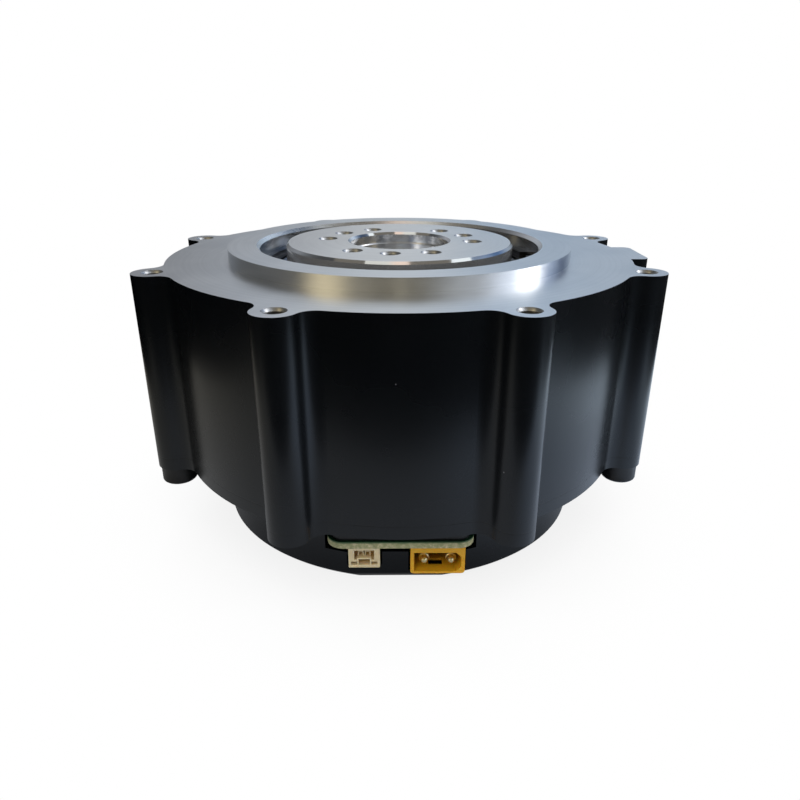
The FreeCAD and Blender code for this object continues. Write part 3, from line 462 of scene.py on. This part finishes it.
def circuit_board(name, finishes):
    """Glossy solder mask on the faces and pale woven laminate at the cut edges."""
    finish = Finish(name)
    side = finish.under(finish.tilt, 0.5)
    cloud = finish.noise(1.5 * MM, detail=3)
    layer = finish.span(finish.waves(finish.height, 0.2 * MM), -1, 1, 0.2, 0.8)
    weave = finish.blend(layer, *shades(finishes.laminate, 0.75, 1.2))
    fray = finish.noise(0.8 * MM, detail=6, roughness=0.75)
    weave = finish.blend(finish.span(fray, 0.4, 0.68), weave, (0.6, 0.54, 0.34))
    tufts = finish.noise(2.2 * MM, detail=3)
    weave = finish.blend(finish.span(tufts, 0.55, 0.75, 0.0, 0.6), weave, (0.12, 0.17, 0.06))
    # the mask runs over the upper edge and stains it green
    upper = finish.span(finish.height, BOARD_HIGH.z - 0.5 * MM, BOARD_HIGH.z - 0.1 * MM)
    weave = finish.blend(upper, weave, (0.03, 0.09, 0.03))
    layout = {"Vector": finish.place, "Scale": 1 / (3.2 * MM), "Mortar Size": 0.045}
    tracks = finish.node("ShaderNodeTexBrick", layout, squash=1.4, offset=0.35).outputs["Fac"]
    even, bright, dark_tone_and_painted_shade = shades(finishes.mask, 1.0, 1.7, 0.6)
    green = finish.blend(finish.uneven(cloud, 0.0, 0.3), finish.blend(tracks, even, bright), dark_tone_and_painted_shade)
    rough = finish.span(side, 0, 1, 0.3, 0.62)
    return finish.wear(finish.blend(side, green, weave), rough, finish.bump(tracks, 0.02 * MM, 0.5))


def placed(name, data):
    """A new object of the scene with that data."""
    made = bpy.data.objects.new(name, data)
    bpy.context.scene.collection.objects.link(made)
    return made


def spot(circle, angle, height=0.0):
    return Vector((circle * math.cos(angle), circle * math.sin(angle), height))


def ear_spots(sizes, height, left_out=()):
    """The middles of the ear holes, counted from the first one on."""
    angles = {ear: sizes.ear_start + ear * 2 * math.pi / EAR_COUNT for ear in range(EAR_COUNT)}
    return [spot(sizes.ear_circle, angle, height) for ear, angle in angles.items() if ear not in left_out]


def hexagon(apothem, angle):
    """Radius of a hexagon with that apothem at the given angle."""
    sixth = math.pi / 3
    return apothem / math.cos(angle % sixth - sixth / 2)


def oriented(x, y, z, axis):
    """Turns a point made round Z so that it lies round another axis; "-Z" points down and "-Y" forward."""
    if axis == "-Z":
        return Vector((x, -y, -z))
    if axis == "-Y":
        return Vector((x, -z, y))
    return Vector((x, y, z))


def turned_solid(mesh, rings, centre, steps=72, axis="Z", closed=False):
    """Adds a solid of revolution. A ring is a radius, a height and, where it isn't round, "hex" or a depth of
    knurling. A radius of 0 is a point on the axis. A closed solid joins its last ring to its first."""
    loops = []
    for radius, height, *form in rings:
        if radius == 0:
            loops.append([mesh.verts.new(centre + oriented(0, 0, height, axis))])
            continue
        loop = []
        for step in range(steps):
            angle = 2 * math.pi * step / steps
            reach = radius
            if "hex" in form:
                reach = hexagon(radius, angle)
            elif form:
                reach = radius - form[0] * (step % 2)
            corner = oriented(reach * math.cos(angle), reach * math.sin(angle), height, axis)
            loop.append(mesh.verts.new(centre + corner))
        loops.append(loop)
    pairs = list(zip(loops, loops[1:]))
    if closed:
        pairs.append((loops[-1], loops[0]))
    for first, second in pairs:
        count = max(len(first), len(second))
        for step in range(count):
            after = (step + 1) % count
            corners = [first[k % len(first)] for k in (step, after)]
            corners += [second[k % len(second)] for k in (after, step)]
            mesh.faces.new(list(dict.fromkeys(corners)))


def prism(mesh, outlines, front, back):
    """Adds the solid between two planes across Y whose section is the first outline less the others."""
    walls = []
    for depth in (front, back):
        edges, corners = [], []
        for outline in outlines:
            loop = [mesh.verts.new((x, depth, z)) for x, z in outline]
            edges += [mesh.edges.new((a, b)) for a, b in zip(loop, loop[1:] + loop[:1])]
            corners.append(loop)
        bmesh.ops.triangle_fill(mesh, use_beauty=True, edges=edges)
        walls.append(corners)
    for first, second in zip(*walls):
        for step in range(len(first)):
            after = (step + 1) % len(first)
            mesh.faces.new((first[step], first[after], second[after], second[step]))


def block(outline, front, back):
    """A new solid with that section between two planes across Y."""
    mesh = bmesh.new()
    prism(mesh, [outline], front, back)
    return mesh


def baked(name, mesh):
    """The mesh as data, with its faces turned outwards."""
    bmesh.ops.recalc_face_normals(mesh, faces=mesh.faces[:])
    data = bpy.data.meshes.new(name)
    mesh.to_mesh(data)
    mesh.free()
    return data


def carved(solid, cutters):
    """The solid less the cutters, as one closed mesh."""
    parts = [placed("part", baked("part", source)) for source in (solid, *cutters)]
    for cutter in parts[1:]:
        cut = parts[0].modifiers.new("cut", "BOOLEAN")
        cut.operation, cut.solver, cut.object = "DIFFERENCE", "EXACT", cutter
    result = bmesh.new()
    result.from_object(parts[0], bpy.context.evaluated_depsgraph_get())
    for part in parts:
        bpy.data.objects.remove(part)
    bmesh.ops.remove_doubles(result, verts=result.verts[:], dist=0.001 * MM)
    flat = math.radians(1)
    bmesh.ops.dissolve_limit(result, angle_limit=flat, verts=result.verts[:], edges=result.edges[:])
    return result


def rounded(left, right, low, high, radii=(0, 0, 0, 0), steps=5):
    """A rectangle's outline with a radius at each corner, from the lower left one on by the right."""
    corners = [(left, low, 1, 1, 180), (right, low, -1, 1, 270)]
    corners += [(right, high, -1, -1, 0), (left, high, 1, -1, 90)]
    outline = []
    for (x, z, to_x, to_z, start), radius in zip(corners, radii):
        if radius == 0:
            outline.append((x, z))
            continue
        for step in range(steps + 1):
            angle = math.radians(start + 90 * step / steps)
            across, up = to_x + math.cos(angle), to_z + math.sin(angle)
            outline.append((x + radius * across, z + radius * up))
    return outline


def piece(name, mesh, finish, replaces=(), body="housing", edge=0.0, smooth=30):
    """Makes an object of the mesh, with its finish, and lets it ride on a body of the frame."""
    data = baked(name, mesh)
    data.materials.append(finish)
    for face in data.polygons:
        face.use_smooth = True
    data.set_sharp_from_angle(angle=math.radians(smooth))
    made = placed(name, data)
    if edge:
        bevel = made.modifiers.new("edges", "BEVEL")
        bevel.width, bevel.segments, bevel.harden_normals = edge, 2, True
        bevel.limit_method, bevel.angle_limit = "ANGLE", math.radians(35)
    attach(made, body)
    if replaces:
        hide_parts(*replaces)


def dress(finish, *nodes):
    """Gives nodes of the frame their finish."""
    for node in nodes:
        materials = NODES[node].data.materials
        materials.clear()
        materials.append(finish)


class ACTUATOR_OT_housing(Operator):
    """Anodise the housing, the rear plate and the rear cover"""

    bl_idname = "actuator.housing"
    bl_label = "Housing"

    def execute(self, context):
        finishes = context.scene.actuator_finishes
        dress(anodised("black_anodised_bare_front", finishes, bare_faces=True), "main_housing")
        dress(anodised("black_anodised", finishes), "rear_plate", "rear_cover")
        return {"FINISHED"}


class ACTUATOR_OT_output(Operator):
    """Finish the output flange and the bearings"""

    bl_idname = "actuator.output"
    bl_label = "Output flange and bearings"

    def execute(self, context):
        finishes = context.scene.actuator_finishes
        dress(bare_aluminium("turned_aluminium", finishes), "output_flange")
        rings = []
        for bearing in ("output_bearing", "rotor_bearing"):
            rings += [bearing + "_outer_ring", bearing + "_inner_ring"]
        dress(ground_steel("bearing_steel", finishes.bearing, 0.2), "bearing_rollers", *rings)
        dress(ground_steel("spring_steel", (0.1, 0.1, 0.105), 0.34), "bearing_split_ring")
        return {"FINISHED"}


class ACTUATOR_OT_drive(Operator):
    """Finish the gears, the motor and the electronics inside"""

    bl_idname = "actuator.drive"
    bl_label = "Gears, motor and electronics"

    def execute(self, context):
        worn = {
            "gear_steel": ground_steel("gear_steel", (0.33, 0.335, 0.35), 0.28, stain=1.0),
            "rotor_steel": ground_steel("rotor_steel", (0.42, 0.42, 0.44), 0.3),
            "lamination": stacked_sheets("lamination"),
            "copper_winding": wound_wire("copper_winding"),
            "copper_bar": plain_metal("copper_bar", (0.72, 0.32, 0.16), 0.3),
            "nickel": plain_metal("nickel", (0.55, 0.53, 0.48), 0.2),
            "chip_black": moulded("chip_black", (0.012, 0.012, 0.012), 0.5),
            "brass_spacer": plain_metal("brass_spacer", (0.72, 0.5, 0.2), 0.28),
            "bronze_bush": plain_metal("bronze_bush", (0.52, 0.32, 0.15), 0.42, grain=0.25 * MM),
        }
        for row in SUBPARTS:
            if row["material_slot"] in worn:
                dress(worn[row["material_slot"]], row["node"])
        return {"FINISHED"}


class ACTUATOR_OT_threads(Operator):
    """Cut threads into the ear holes and the output holes"""

    bl_idname = "actuator.threads"
    bl_label = "Threads"

    def liners(self, name, spots, top, turns, body, sizes):
        """Makes a liner with that many turns of thread, and a cone at its mouth, in each hole."""
        outer, pitch = sizes.thread_radius - 0.015 * MM, sizes.thread_pitch
        crest, root = outer - sizes.thread_depth, outer - 0.04 * MM
        start = -0.12 * MM - sizes.thread_depth
        rings = [(outer, -0.02 * MM), (crest, start)]
        for turn in range(turns):
            for reach, part in ((crest, 0.12), (root, 0.5), (crest, 0.88)):
                rings.append((reach, start - (turn + part) * pitch))
        rings.append((outer, start - turns * pitch))
        mesh = bmesh.new()
        for place in spots:
            turned_solid(mesh, rings, place, steps=36, closed=True)
        piece(name, mesh, thread_with_painted_shade(name + "_metal", top), body=body, smooth=50)

    def execute(self, context):
        sizes = context.scene.actuator_sizes
        self.liners("ear_threads", ear_spots(sizes, 0.0), 0.0, 12, "housing", sizes)
        # three groups of three holes, 30 degrees apart in each
        starts = [sizes.output_start + third * 2 * math.pi / 3 for third in range(3)]
        angles = [start + step * math.pi / 6 for start in starts for step in range(3)]
        holes = [spot(sizes.output_circle, angle, FLANGE_TOP) for angle in angles]
        self.liners("output_threads", holes, FLANGE_TOP, 8, "output", sizes)
        return {"FINISHED"}


class ACTUATOR_OT_cap_screws(Operator):
    """Make the cap screws that hold the rear plate"""

    bl_idname = "actuator.cap_screws"
    bl_label = "Cap screws"

    def execute(self, context):
        sizes = context.scene.actuator_sizes
        radius, height, chamfer = sizes.head_radius, sizes.head_height, sizes.head_chamfer
        key = sizes.key_width / 2
        socket_floor = 0.45 * height
        shank, end = sizes.shank_radius, sizes.shank_length
        rings = [
            (0, -end),
            (shank - 0.4 * MM, -end),
            (shank, -end + 0.4 * MM),
            (shank, 0.0),
            (radius - 0.15 * MM, 0.0),
            (radius, 0.15 * MM),
            (radius, 0.3 * MM, sizes.knurl),
            (radius, height - 1.6 * chamfer, sizes.knurl),
            (radius, height - 1.3 * chamfer),
            (radius - 0.3 * chamfer, height - 0.6 * chamfer),
            (radius - chamfer, height),
            (key * 1.22, height),
            (key * 1.12, height - 0.12 * MM),
            (key, height - 0.25 * MM, "hex"),
            (key, socket_floor, "hex"),
            (0, socket_floor - 0.5 * MM),
        ]
        mesh = bmesh.new()
        # the two ears beside the connectors have no screw
        for place in ear_spots(sizes, PLATE_BOTTOM, left_out=(5, 6)):
            turned_solid(mesh, rings, place, axis="-Z")
        finish = black_oxide("black_oxide")
        piece("cap_screws", mesh, finish, ("housing_screws",), smooth=25)
        return {"FINISHED"}


class ACTUATOR_OT_cover_screws(Operator):
    """Make the countersunk screws that hold the rear cover"""

    bl_idname = "actuator.cover_screws"
    bl_label = "Cover screws"

    def execute(self, context):
        sizes = context.scene.actuator_sizes
        head, shank, key = sizes.cover_head, sizes.cover_shank, sizes.cover_key / 2
        # heights are measured up from the cover's bottom
        face, rim, end = 0.04 * MM, 0.1 * MM, 6.0 * MM
        rings = [
            (0, end),
            (shank, end),
            (shank, head - shank + rim),
            (head, rim),
            (head - 0.05 * MM, face),
            (key * 1.25, face),
            (key, face + 0.12 * MM, "hex"),
            (key, 0.95 * MM, "hex"),
            (0, 1.2 * MM),
        ]
        mesh = bmesh.new()
        for step in range(4):
            angle = math.pi / 4 + step * math.pi / 2
            turned_solid(mesh, rings, spot(sizes.cover_circle, angle, COVER_BOTTOM))
        piece("cover_screws", mesh, black_oxide("black_oxide_fine"), smooth=25)
        return {"FINISHED"}


class ACTUATOR_OT_power_connector(Operator):
    """Mould the two-pin power connector and its gold pins"""

    bl_idname = "actuator.power_connector"
    bl_label = "Power connector"

    def shell(self, sizes, finishes, middle):
        """The shell: a socket with two cut corners, and a key slot through its floor."""
        low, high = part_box("power_connector_shell")
        depth, cut, air = 9.0 * MM, 1.0 * MM, 1.0 * MM
        left, right = low.x + 0.7 * MM, high.x - 0.7 * MM
        floor, ceiling = low.z + 0.45 * MM, low.z + 4.55 * MM
        opening = [
            (left, floor),
            (right - cut, floor),
            (right, floor + cut),
            (right, ceiling - cut),
            (right - cut, ceiling),
            (left, ceiling),
        ]
        key = rounded(middle - 1.6 * MM, middle + 1.0 * MM, low.z - air, floor + 0.5 * air)
        foot, top = 0.6 * MM, 0.15 * MM
        solid = block(rounded(low.x, high.x, low.z, high.z, (foot, foot, top, top)), low.y, high.y)
        socket = block(opening, low.y - air, low.y + depth)
        slot = block(key, low.y + 2.35 * MM, low.y + 4.0 * MM)
        finish = nylon(
            "amber_nylon",
            finishes.amber,
            mottle=(0.9, 1.08),
            # painted shade: the amber darkens towards the back of the socket
            dark_tone_and_painted_shade=(0.17, 0.06, 0.006),
            reach=(low.y + 0.4 * MM, low.y + depth, 0.0, 0.85),
            rough=(0.3, 0.42),
            grain=0.1 * MM,
            relief=0.004 * MM,
            subsurface_weight=0.2,
            subsurface_scale=0.5 * MM,
            specular_ior_level=0.35,
        )
        replaced = ("power_connector_shell",)
        mesh, edge = carved(solid, [socket, slot]), sizes.moulded_edge
        piece("power_connector", mesh, finish, replaced, edge=edge)

    def pins(self, finishes, pin_low, pin_high):
        """The pins: a thick rear part, a step, and a slimmer tip with a round nose."""
        height = (pin_low.z + pin_high.z) / 2
        radius, tip = (pin_high.z - pin_low.z) / 2, 0.76 * MM
        # the tips reach a little further forward than those of the solids
        front, back, nose = 0.5 * MM - pin_low.y, -pin_high.y, 0.9 * MM
        neck = front - nose
        rings = [
            (0, back),
            (radius, back),
            (radius, neck - 0.35 * MM),
            (radius - 0.08 * MM, neck - 0.27 * MM),
            (tip + 0.06 * MM, neck - 0.2 * MM),
        ]
        steps = 8
        for step in range(steps):
            angle = math.pi / 2 * step / steps
            rings.append((tip * math.cos(angle), neck + nose * math.sin(angle)))
        rings.append((0, front))
        mesh = bmesh.new()
        for x in (pin_low.x + radius, pin_high.x - radius):
            turned_solid(mesh, rings, Vector((x, 0, height)), steps=36, axis="-Y")
        finish, replaced = plain_metal("gold_plate", finishes.gold, 0.34), ("power_connector_pins",)
        piece("power_pins", mesh, finish, replaced, smooth=40)

    def execute(self, context):
        sizes, finishes = context.scene.actuator_sizes, context.scene.actuator_finishes
        pin_low, pin_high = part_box("power_connector_pins")
        self.shell(sizes, finishes, (pin_low.x + pin_high.x) / 2)
        self.pins(finishes, pin_low, pin_high)
        return {"FINISHED"}


class ACTUATOR_OT_signal_connector(Operator):
    """Mould the small latching signal connector and bend its contacts"""

    bl_idname = "actuator.signal_connector"
    bl_label = "Signal connector"

    def shell(self, finishes, low, high, wall):
        """The shell: a stepped socket, a latch window below it and a slit at each side of the window."""
        centre, air = (low.x + high.x) / 2, 1.0 * MM

        def window(left, right, bottom, top):
            return rounded(centre + left, centre + right, low.z + bottom, low.z + top)

        side, step, shelf, foot = 1.83 * MM, 1.3 * MM, 1.75 * MM, 2.15 * MM
        ceiling = high.z - low.z - 0.45 * MM
        stepped = ((-side, ceiling), (-side, shelf), (-step, shelf), (-step, foot))
        mirrored = [(-x, z) for x, z in reversed(stepped)]
        plug = [(centre + x, low.z + z) for x, z in (*stepped, *mirrored)]
        latch = window(-1.05 * MM, 1.05 * MM, 0.6 * MM, 1.85 * MM)
        slits = [window(*ends, 0.6 * MM, 1.3 * MM) for ends in ((-2.4 * MM, -1.3 * MM), (1.3 * MM, 2.4 * MM))]
        spaces = [block(space, low.y - air, wall) for space in (plug, latch, *slits)]
        outline = rounded(low.x, high.x, low.z, high.z, (0.2 * MM,) * 4, 3)
        finish = nylon(
            "cream_nylon",
            finishes.cream,
            mottle=(0.93, 1.05),
            # painted shade: the cream darkens towards the back of the socket
            dark_tone_and_painted_shade=(0.62, 0.44, 0.2),
            reach=(low.y + 0.1 * MM, wall, 0.0, 1.0),
            rough=(0.42, 0.52),
            grain=0.08 * MM,
            relief=0.003 * MM,
            subsurface_weight=0.8,
            subsurface_scale=0.8 * MM,
            subsurface_radius=WARM_SCATTER,
        )
        mesh, replaced = carved(block(outline, low.y, high.y), spaces), ("signal_connector_shell",)
        piece("signal_connector", mesh, finish, replaced, edge=0.06 * MM)

    def execute(self, context):
        finishes = context.scene.actuator_finishes
        low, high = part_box("signal_connector_shell")
        pin_low, pin_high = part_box("signal_connector_contacts")
        wall = low.y + 1.8 * MM
        self.shell(finishes, low, high, wall)

        half = (pin_high.z - pin_low.z) / 2
        height = (pin_high.z + pin_low.z) / 2
        centres = (pin_low.x + half, pin_high.x - half)
        mesh = bmesh.new()
        for x in centres:
            section = rounded(x - half, x + half, height - half, height + half, (0.05 * MM,) * 4, 2)
            prism(mesh, [section], pin_low.y, pin_high.y)
        tin, replaced = plain_metal("tin_plate", (0.62, 0.52, 0.36), 0.42), ("signal_connector_contacts",)
        piece("signal_contacts", mesh, tin, replaced, edge=0.04 * MM)

        # a slanting rib stands at each side of each contact
        mesh = bmesh.new()
        top, foot = height + 0.35 * MM, low.z + 2.15 * MM
        for x in centres:
            for side in (-MM, MM):
                corners = ((0.24, top), (0.42, top), (0.58, foot), (0.4, foot))
                rib = [(x + out * side, z) for out, z in corners]
                prism(mesh, [rib], low.y + 0.8 * MM, wall)
        ribs = moulded("cream_ramp", finishes.cream, 0.45, glow=0.7)
        piece("signal_ramps", mesh, ribs, edge=0.03 * MM)
        return {"FINISHED"}


class ACTUATOR_OT_board(Operator):
    """Finish the controller board and lay a thin black sheet on it as painted shade"""

    bl_idname = "actuator.board"
    bl_label = "Controller board"

    def execute(self, context):
        sizes = context.scene.actuator_sizes
        dress(circuit_board("solder_mask", context.scene.actuator_finishes), "controller_board")
        half, front, back = 13.6 * MM - sizes.painted_shade_sheet_inset, BOARD_LOW.y + sizes.painted_shade_sheet_inset, -31 * MM
        radius = 2.6 * MM
        outline = rounded(-half, half, front, back, (radius, radius, 0, 0), 8)
        mesh = block(outline, BOARD_HIGH.z, BOARD_HIGH.z + sizes.painted_shade_sheet_thickness)
        for corner in mesh.verts:
            corner.co = Vector((corner.co.x, corner.co.z, corner.co.y))
        # painted shade: a thin black sheet laid on the board darkens the gap above it
        painted_shade_sheet = moulded("black_painted_shade_sheet", (0.004, 0.005, 0.006), 0.3)
        piece("board_painted_shade_sheet", mesh, painted_shade_sheet, edge=0.03 * MM)
        return {"FINISHED"}


# What polished metal reflects: places along a card, or round the room, and the light's colour there
PAPER_LIGHT = (
    (0.0, (0.20, 0.19, 0.165)),
    (0.5, (0.24, 0.25, 0.27)),
    (0.75, (0.40, 0.47, 0.58)),
    (1.0, (0.72, 0.86, 1.0)),
)
BENCH_LIGHT = ((0.0, (0.0, 0.0, 0.001)), (1.0, (0.03, 0.032, 0.036)))
CEILING_LIGHT = ((0.0, (0.17, 0.155, 0.13)), (1.0, (0.17, 0.155, 0.13)))
PANEL_LIGHT = (
    (0.0, (0.7, 0.7, 0.65)),
    (0.4, (0.85, 0.68, 0.57)),
    (0.9, (0.85, 0.68, 0.57)),
    (1.0, (0.9, 0.97, 1.0)),
)
# from behind, round by the left, the front and the right, where the window is, and back again
ROOM_LIGHT = (
    (0.0, (0.013, 0.015, 0.017)),
    (0.06, (0.019, 0.02, 0.02)),
    (0.12, (0.27, 0.225, 0.14)),
    (0.18, (0.075, 0.067, 0.05)),
    (0.235, (0.036, 0.031, 0.02)),
    (0.25, (0.10, 0.088, 0.062)),
    (0.265, (0.047, 0.042, 0.03)),
    (0.38, (0.12, 0.128, 0.137)),
    (0.45, (0.29, 0.32, 0.37)),
    (0.50, (1.0, 1.0, 1.0)),
    (0.545, (0.1, 0.135, 0.2)),
    (0.61, (0.008, 0.02, 0.045)),
    (0.68, (0.098, 0.116, 0.139)),
    (0.72, (0.09, 0.113, 0.142)),
    (0.75, (0.145, 0.153, 0.16)),
    (0.78, (0.094, 0.101, 0.112)),
    (0.81, (0.06, 0.062, 0.067)),
    (0.86, (0.037, 0.04, 0.045)),
    (0.92, (0.018, 0.02, 0.022)),
    (1.0, (0.013, 0.015, 0.017)),
)


def rectangle(left, right, near, far, height):
    return [(left, near, height), (right, near, height), (right, far, height), (left, far, height)]


def band(count):
    """The faces between two loops of that many corners."""
    return [(k, (k + 1) % count, (k + 1) % count + count, k + count) for k in range(count)]


class ACTUATOR_OT_stage(Operator):
    """Set the floor, the lamps and the camera"""

    bl_idname = "actuator.stage"
    bl_label = "Stage"

    def sheet(self, name, corners, material, faces=None):
        data = bpy.data.meshes.new(name)
        data.from_pydata(corners, [], faces or [tuple(range(len(corners)))])
        data.materials.append(material)
        made = placed(name, data)
        return made

    def floor_finish(self):
        """White to the eye and in reflections, darker in a painted shadow round the object, and plain pale
        elsewhere.
        """
        finish = Finish("floor", base_color=(0.8, 0.8, 0.8, 1), roughness=0.9)
        # painted shadow: ambient occlusion dims the white where the object stands close
        level = finish.span(finish.shadow(45 * MM), 0.1, 0.8, 0.85, 1.0)
        white = finish.result("ShaderNodeEmission", finish.join(level, level, level))
        # from below the floor is clear, so that the underside can be looked at
        below = finish.node("ShaderNodeNewGeometry").outputs["Backfacing"]
        pale = finish.shader.outputs["BSDF"]
        surface = finish.result("ShaderNodeMixShader", finish.seen_white(), pale, white)
        clear = finish.result("ShaderNodeBsdfTransparent")
        surface = finish.result("ShaderNodeMixShader", below, surface, clear)
        finish.put(finish.output.inputs["Surface"], surface)
        return finish.material

    def card(self, finish, corners, along, stops, strength, faces=None):
        """Adds a card that only reflections show, coloured by the stops as "along" runs from 0 to 1."""
        ramp = finish.node("ShaderNodeValToRGB", {0: along})
        ramp.color_ramp.interpolation = "EASE"
        marks = ramp.color_ramp.elements
        marks[0].position, marks[1].position = stops[0][0], stops[-1][0]
        marks[0].color, marks[1].color = (*stops[0][1], 1), (*stops[-1][1], 1)
        for position, tint in stops[1:-1]:
            marks.new(position).color = (*tint, 1)
        light = finish.result("ShaderNodeEmission", ramp.outputs[0], strength)
        finish.put(finish.output.inputs["Surface"], light)
        made = self.sheet(finish.material.name, corners, finish.material, faces)
        made.visible_camera = made.visible_diffuse = made.visible_shadow = made.visible_transmission = False

    def flat_card(self, name, corners, stops, strength, faces=None):
        """A level card whose light changes from left to right, with a painted shadow that dims it close to
        the object.
        """
        finish = Finish(name)
        width = 0.27
        along = finish.plus(finish.times(finish.across, 1 / width), 0.5)
        # painted shadow: ambient occlusion dims the card's light close to the object
        power = finish.span(finish.shadow(30 * MM), 0.2, 0.9, 0.35 * strength, strength)
        self.card(finish, corners, along, stops, power, faces)

    def round_card(self, name, corners, stops, strength, faces):
        """The walls of a room, whose light changes round the object and is strongest half way up."""
        finish = Finish(name)
        along = finish.plus(finish.times(finish.angle, 0.5 / math.pi), 0.5)
        rising = finish.span(finish.height, -0.05, 0.6, 0.35 * strength, 1.75 * strength)
        fading = finish.span(finish.height, 0.55, 1.2, 1.0, 0.3)
        self.card(finish, corners, along, stops, finish.times(rising, fading), faces)

    def surroundings(self, floor):
        """A pale sheet on a dark bench, in a round room with a window and a dim ceiling with two panels."""
        above_floor = floor + 0.5 * MM
        paper = rectangle(-0.135, 0.135, -0.105, 0.135, above_floor)
        bench = rectangle(-1.1, 1.1, -1.1, 1.1, above_floor)
        self.flat_card("pale_paper", paper, PAPER_LIGHT, 2.0)
        self.flat_card("dark_bench", paper + bench, BENCH_LIGHT, 1.0, band(4))
        steps, reach, height = 48, 1.2, 1.6
        ring = [spot(reach, 2 * math.pi * k / steps)[:2] for k in range(steps)]
        walls = [(x, y, z) for z in (floor, height) for x, y in ring]
        self.round_card("room_walls", walls, ROOM_LIGHT, 4.2, band(steps))
        self.flat_card("ceiling", [(x, y, floor + height) for x, y in ring], CEILING_LIGHT, 1.0)
        panels = rectangle(-0.36, 0.10, -0.3, 0.0, floor + 1.0)
        panels += rectangle(0.56, 0.82, -0.08, 0.34, floor + 1.0)
        self.flat_card("ceiling_lights", panels, PANEL_LIGHT, 1.3, [(0, 1, 2, 3), (4, 5, 6, 7)])

    def world(self, fill):
        """White behind the object and in what it reflects, and even grey light for the rest."""
        world = bpy.context.scene.world = bpy.data.worlds.new("soft_room")
        nodes = Nodes(world)
        grey, white = [nodes.result("ShaderNodeBackground", (level,) * 3 + (1,)) for level in (fill, 1.0)]
        mixed = nodes.result("ShaderNodeMixShader", nodes.seen_white(), grey, white)
        nodes.node("ShaderNodeOutputWorld", {"Surface": mixed})

    def lamp(self, name, place, power, tint):
        data = bpy.data.lights.new(name, "AREA")
        data.shape, data.size = "DISK", 0.5
        data.energy, data.color = power, tint
        made = placed(name, data)
        made.location = place
        made.rotation_mode = "QUATERNION"
        aim = Vector((0, 0, -0.02))
        made.rotation_quaternion = (aim - Vector(place)).to_track_quat("-Z", "Y")
        made.visible_glossy = False

    def execute(self, context):
        stage = context.scene.actuator_stage
        # the floor lies a hair below the cover, so that the cover's flat bottom isn't in its plane
        half, floor = stage.floor_size / 2, COVER_BOTTOM - 0.05 * MM
        self.sheet("floor", rectangle(-half, half, -half, half, floor), self.floor_finish())
        self.surroundings(floor)
        self.world(stage.fill)
        self.lamp("key_lamp", (-0.35, -0.5, 0.55), stage.key_power, (1.0, 0.96, 0.9))
        self.lamp("fill_lamp", (0.55, -0.3, 0.4), 0.5 * stage.key_power, (0.82, 0.91, 1.0))
        context.scene.view_settings.view_transform = "Standard"

        data = bpy.data.cameras.new("camera")
        data.lens, data.sensor_width = stage.lens, 36
        data.clip_start, data.clip_end = 0.005, 50
        camera = placed("camera", data)
        camera.location = (-0.00135, -0.14081, 0.02606)
        camera.rotation_euler = [math.radians(turn) for turn in (67.144, -0.097, -0.591)]
        context.scene.camera = camera
        return {"FINISHED"}


class ACTUATOR_PT_dressing(Panel):
    """Lists the steps that dress the actuator"""

    bl_label = "Joint actuator"
    bl_space_type = "VIEW_3D"
    bl_region_type = "UI"
    bl_category = "Actuator"

    def draw(self, context):
        for step in STEPS:
            self.layout.operator(step.bl_idname)
        for group in GROUPS:
            box = self.layout.box()
            settings = getattr(context.scene, group)
            for name in settings.bl_rna.properties.keys():
                if name not in {"rna_type", "name"}:
                    box.prop(settings, name)


STEPS = (
    ACTUATOR_OT_housing,
    ACTUATOR_OT_output,
    ACTUATOR_OT_drive,
    ACTUATOR_OT_threads,
    ACTUATOR_OT_cap_screws,
    ACTUATOR_OT_cover_screws,
    ACTUATOR_OT_power_connector,
    ACTUATOR_OT_signal_connector,
    ACTUATOR_OT_board,
    ACTUATOR_OT_stage,
)
GROUPS = {
    "actuator_sizes": ActuatorSizes,
    "actuator_finishes": ActuatorFinishes,
    "actuator_stage": ActuatorStage,
}


def register():
    for item in (*GROUPS.values(), *STEPS, ACTUATOR_PT_dressing):
        bpy.utils.register_class(item)
    for name, group in GROUPS.items():
        setattr(Scene, name, PointerProperty(type=group))


def unregister():
    for name in GROUPS:
        delattr(Scene, name)
    for item in (ACTUATOR_PT_dressing, *reversed(STEPS), *GROUPS.values()):
        bpy.utils.unregister_class(item)


def main():
    register()
    for step in STEPS:
        group, name = step.bl_idname.split(".")
        getattr(getattr(bpy.ops, group), name)()


if __name__ == "__main__":
    main()
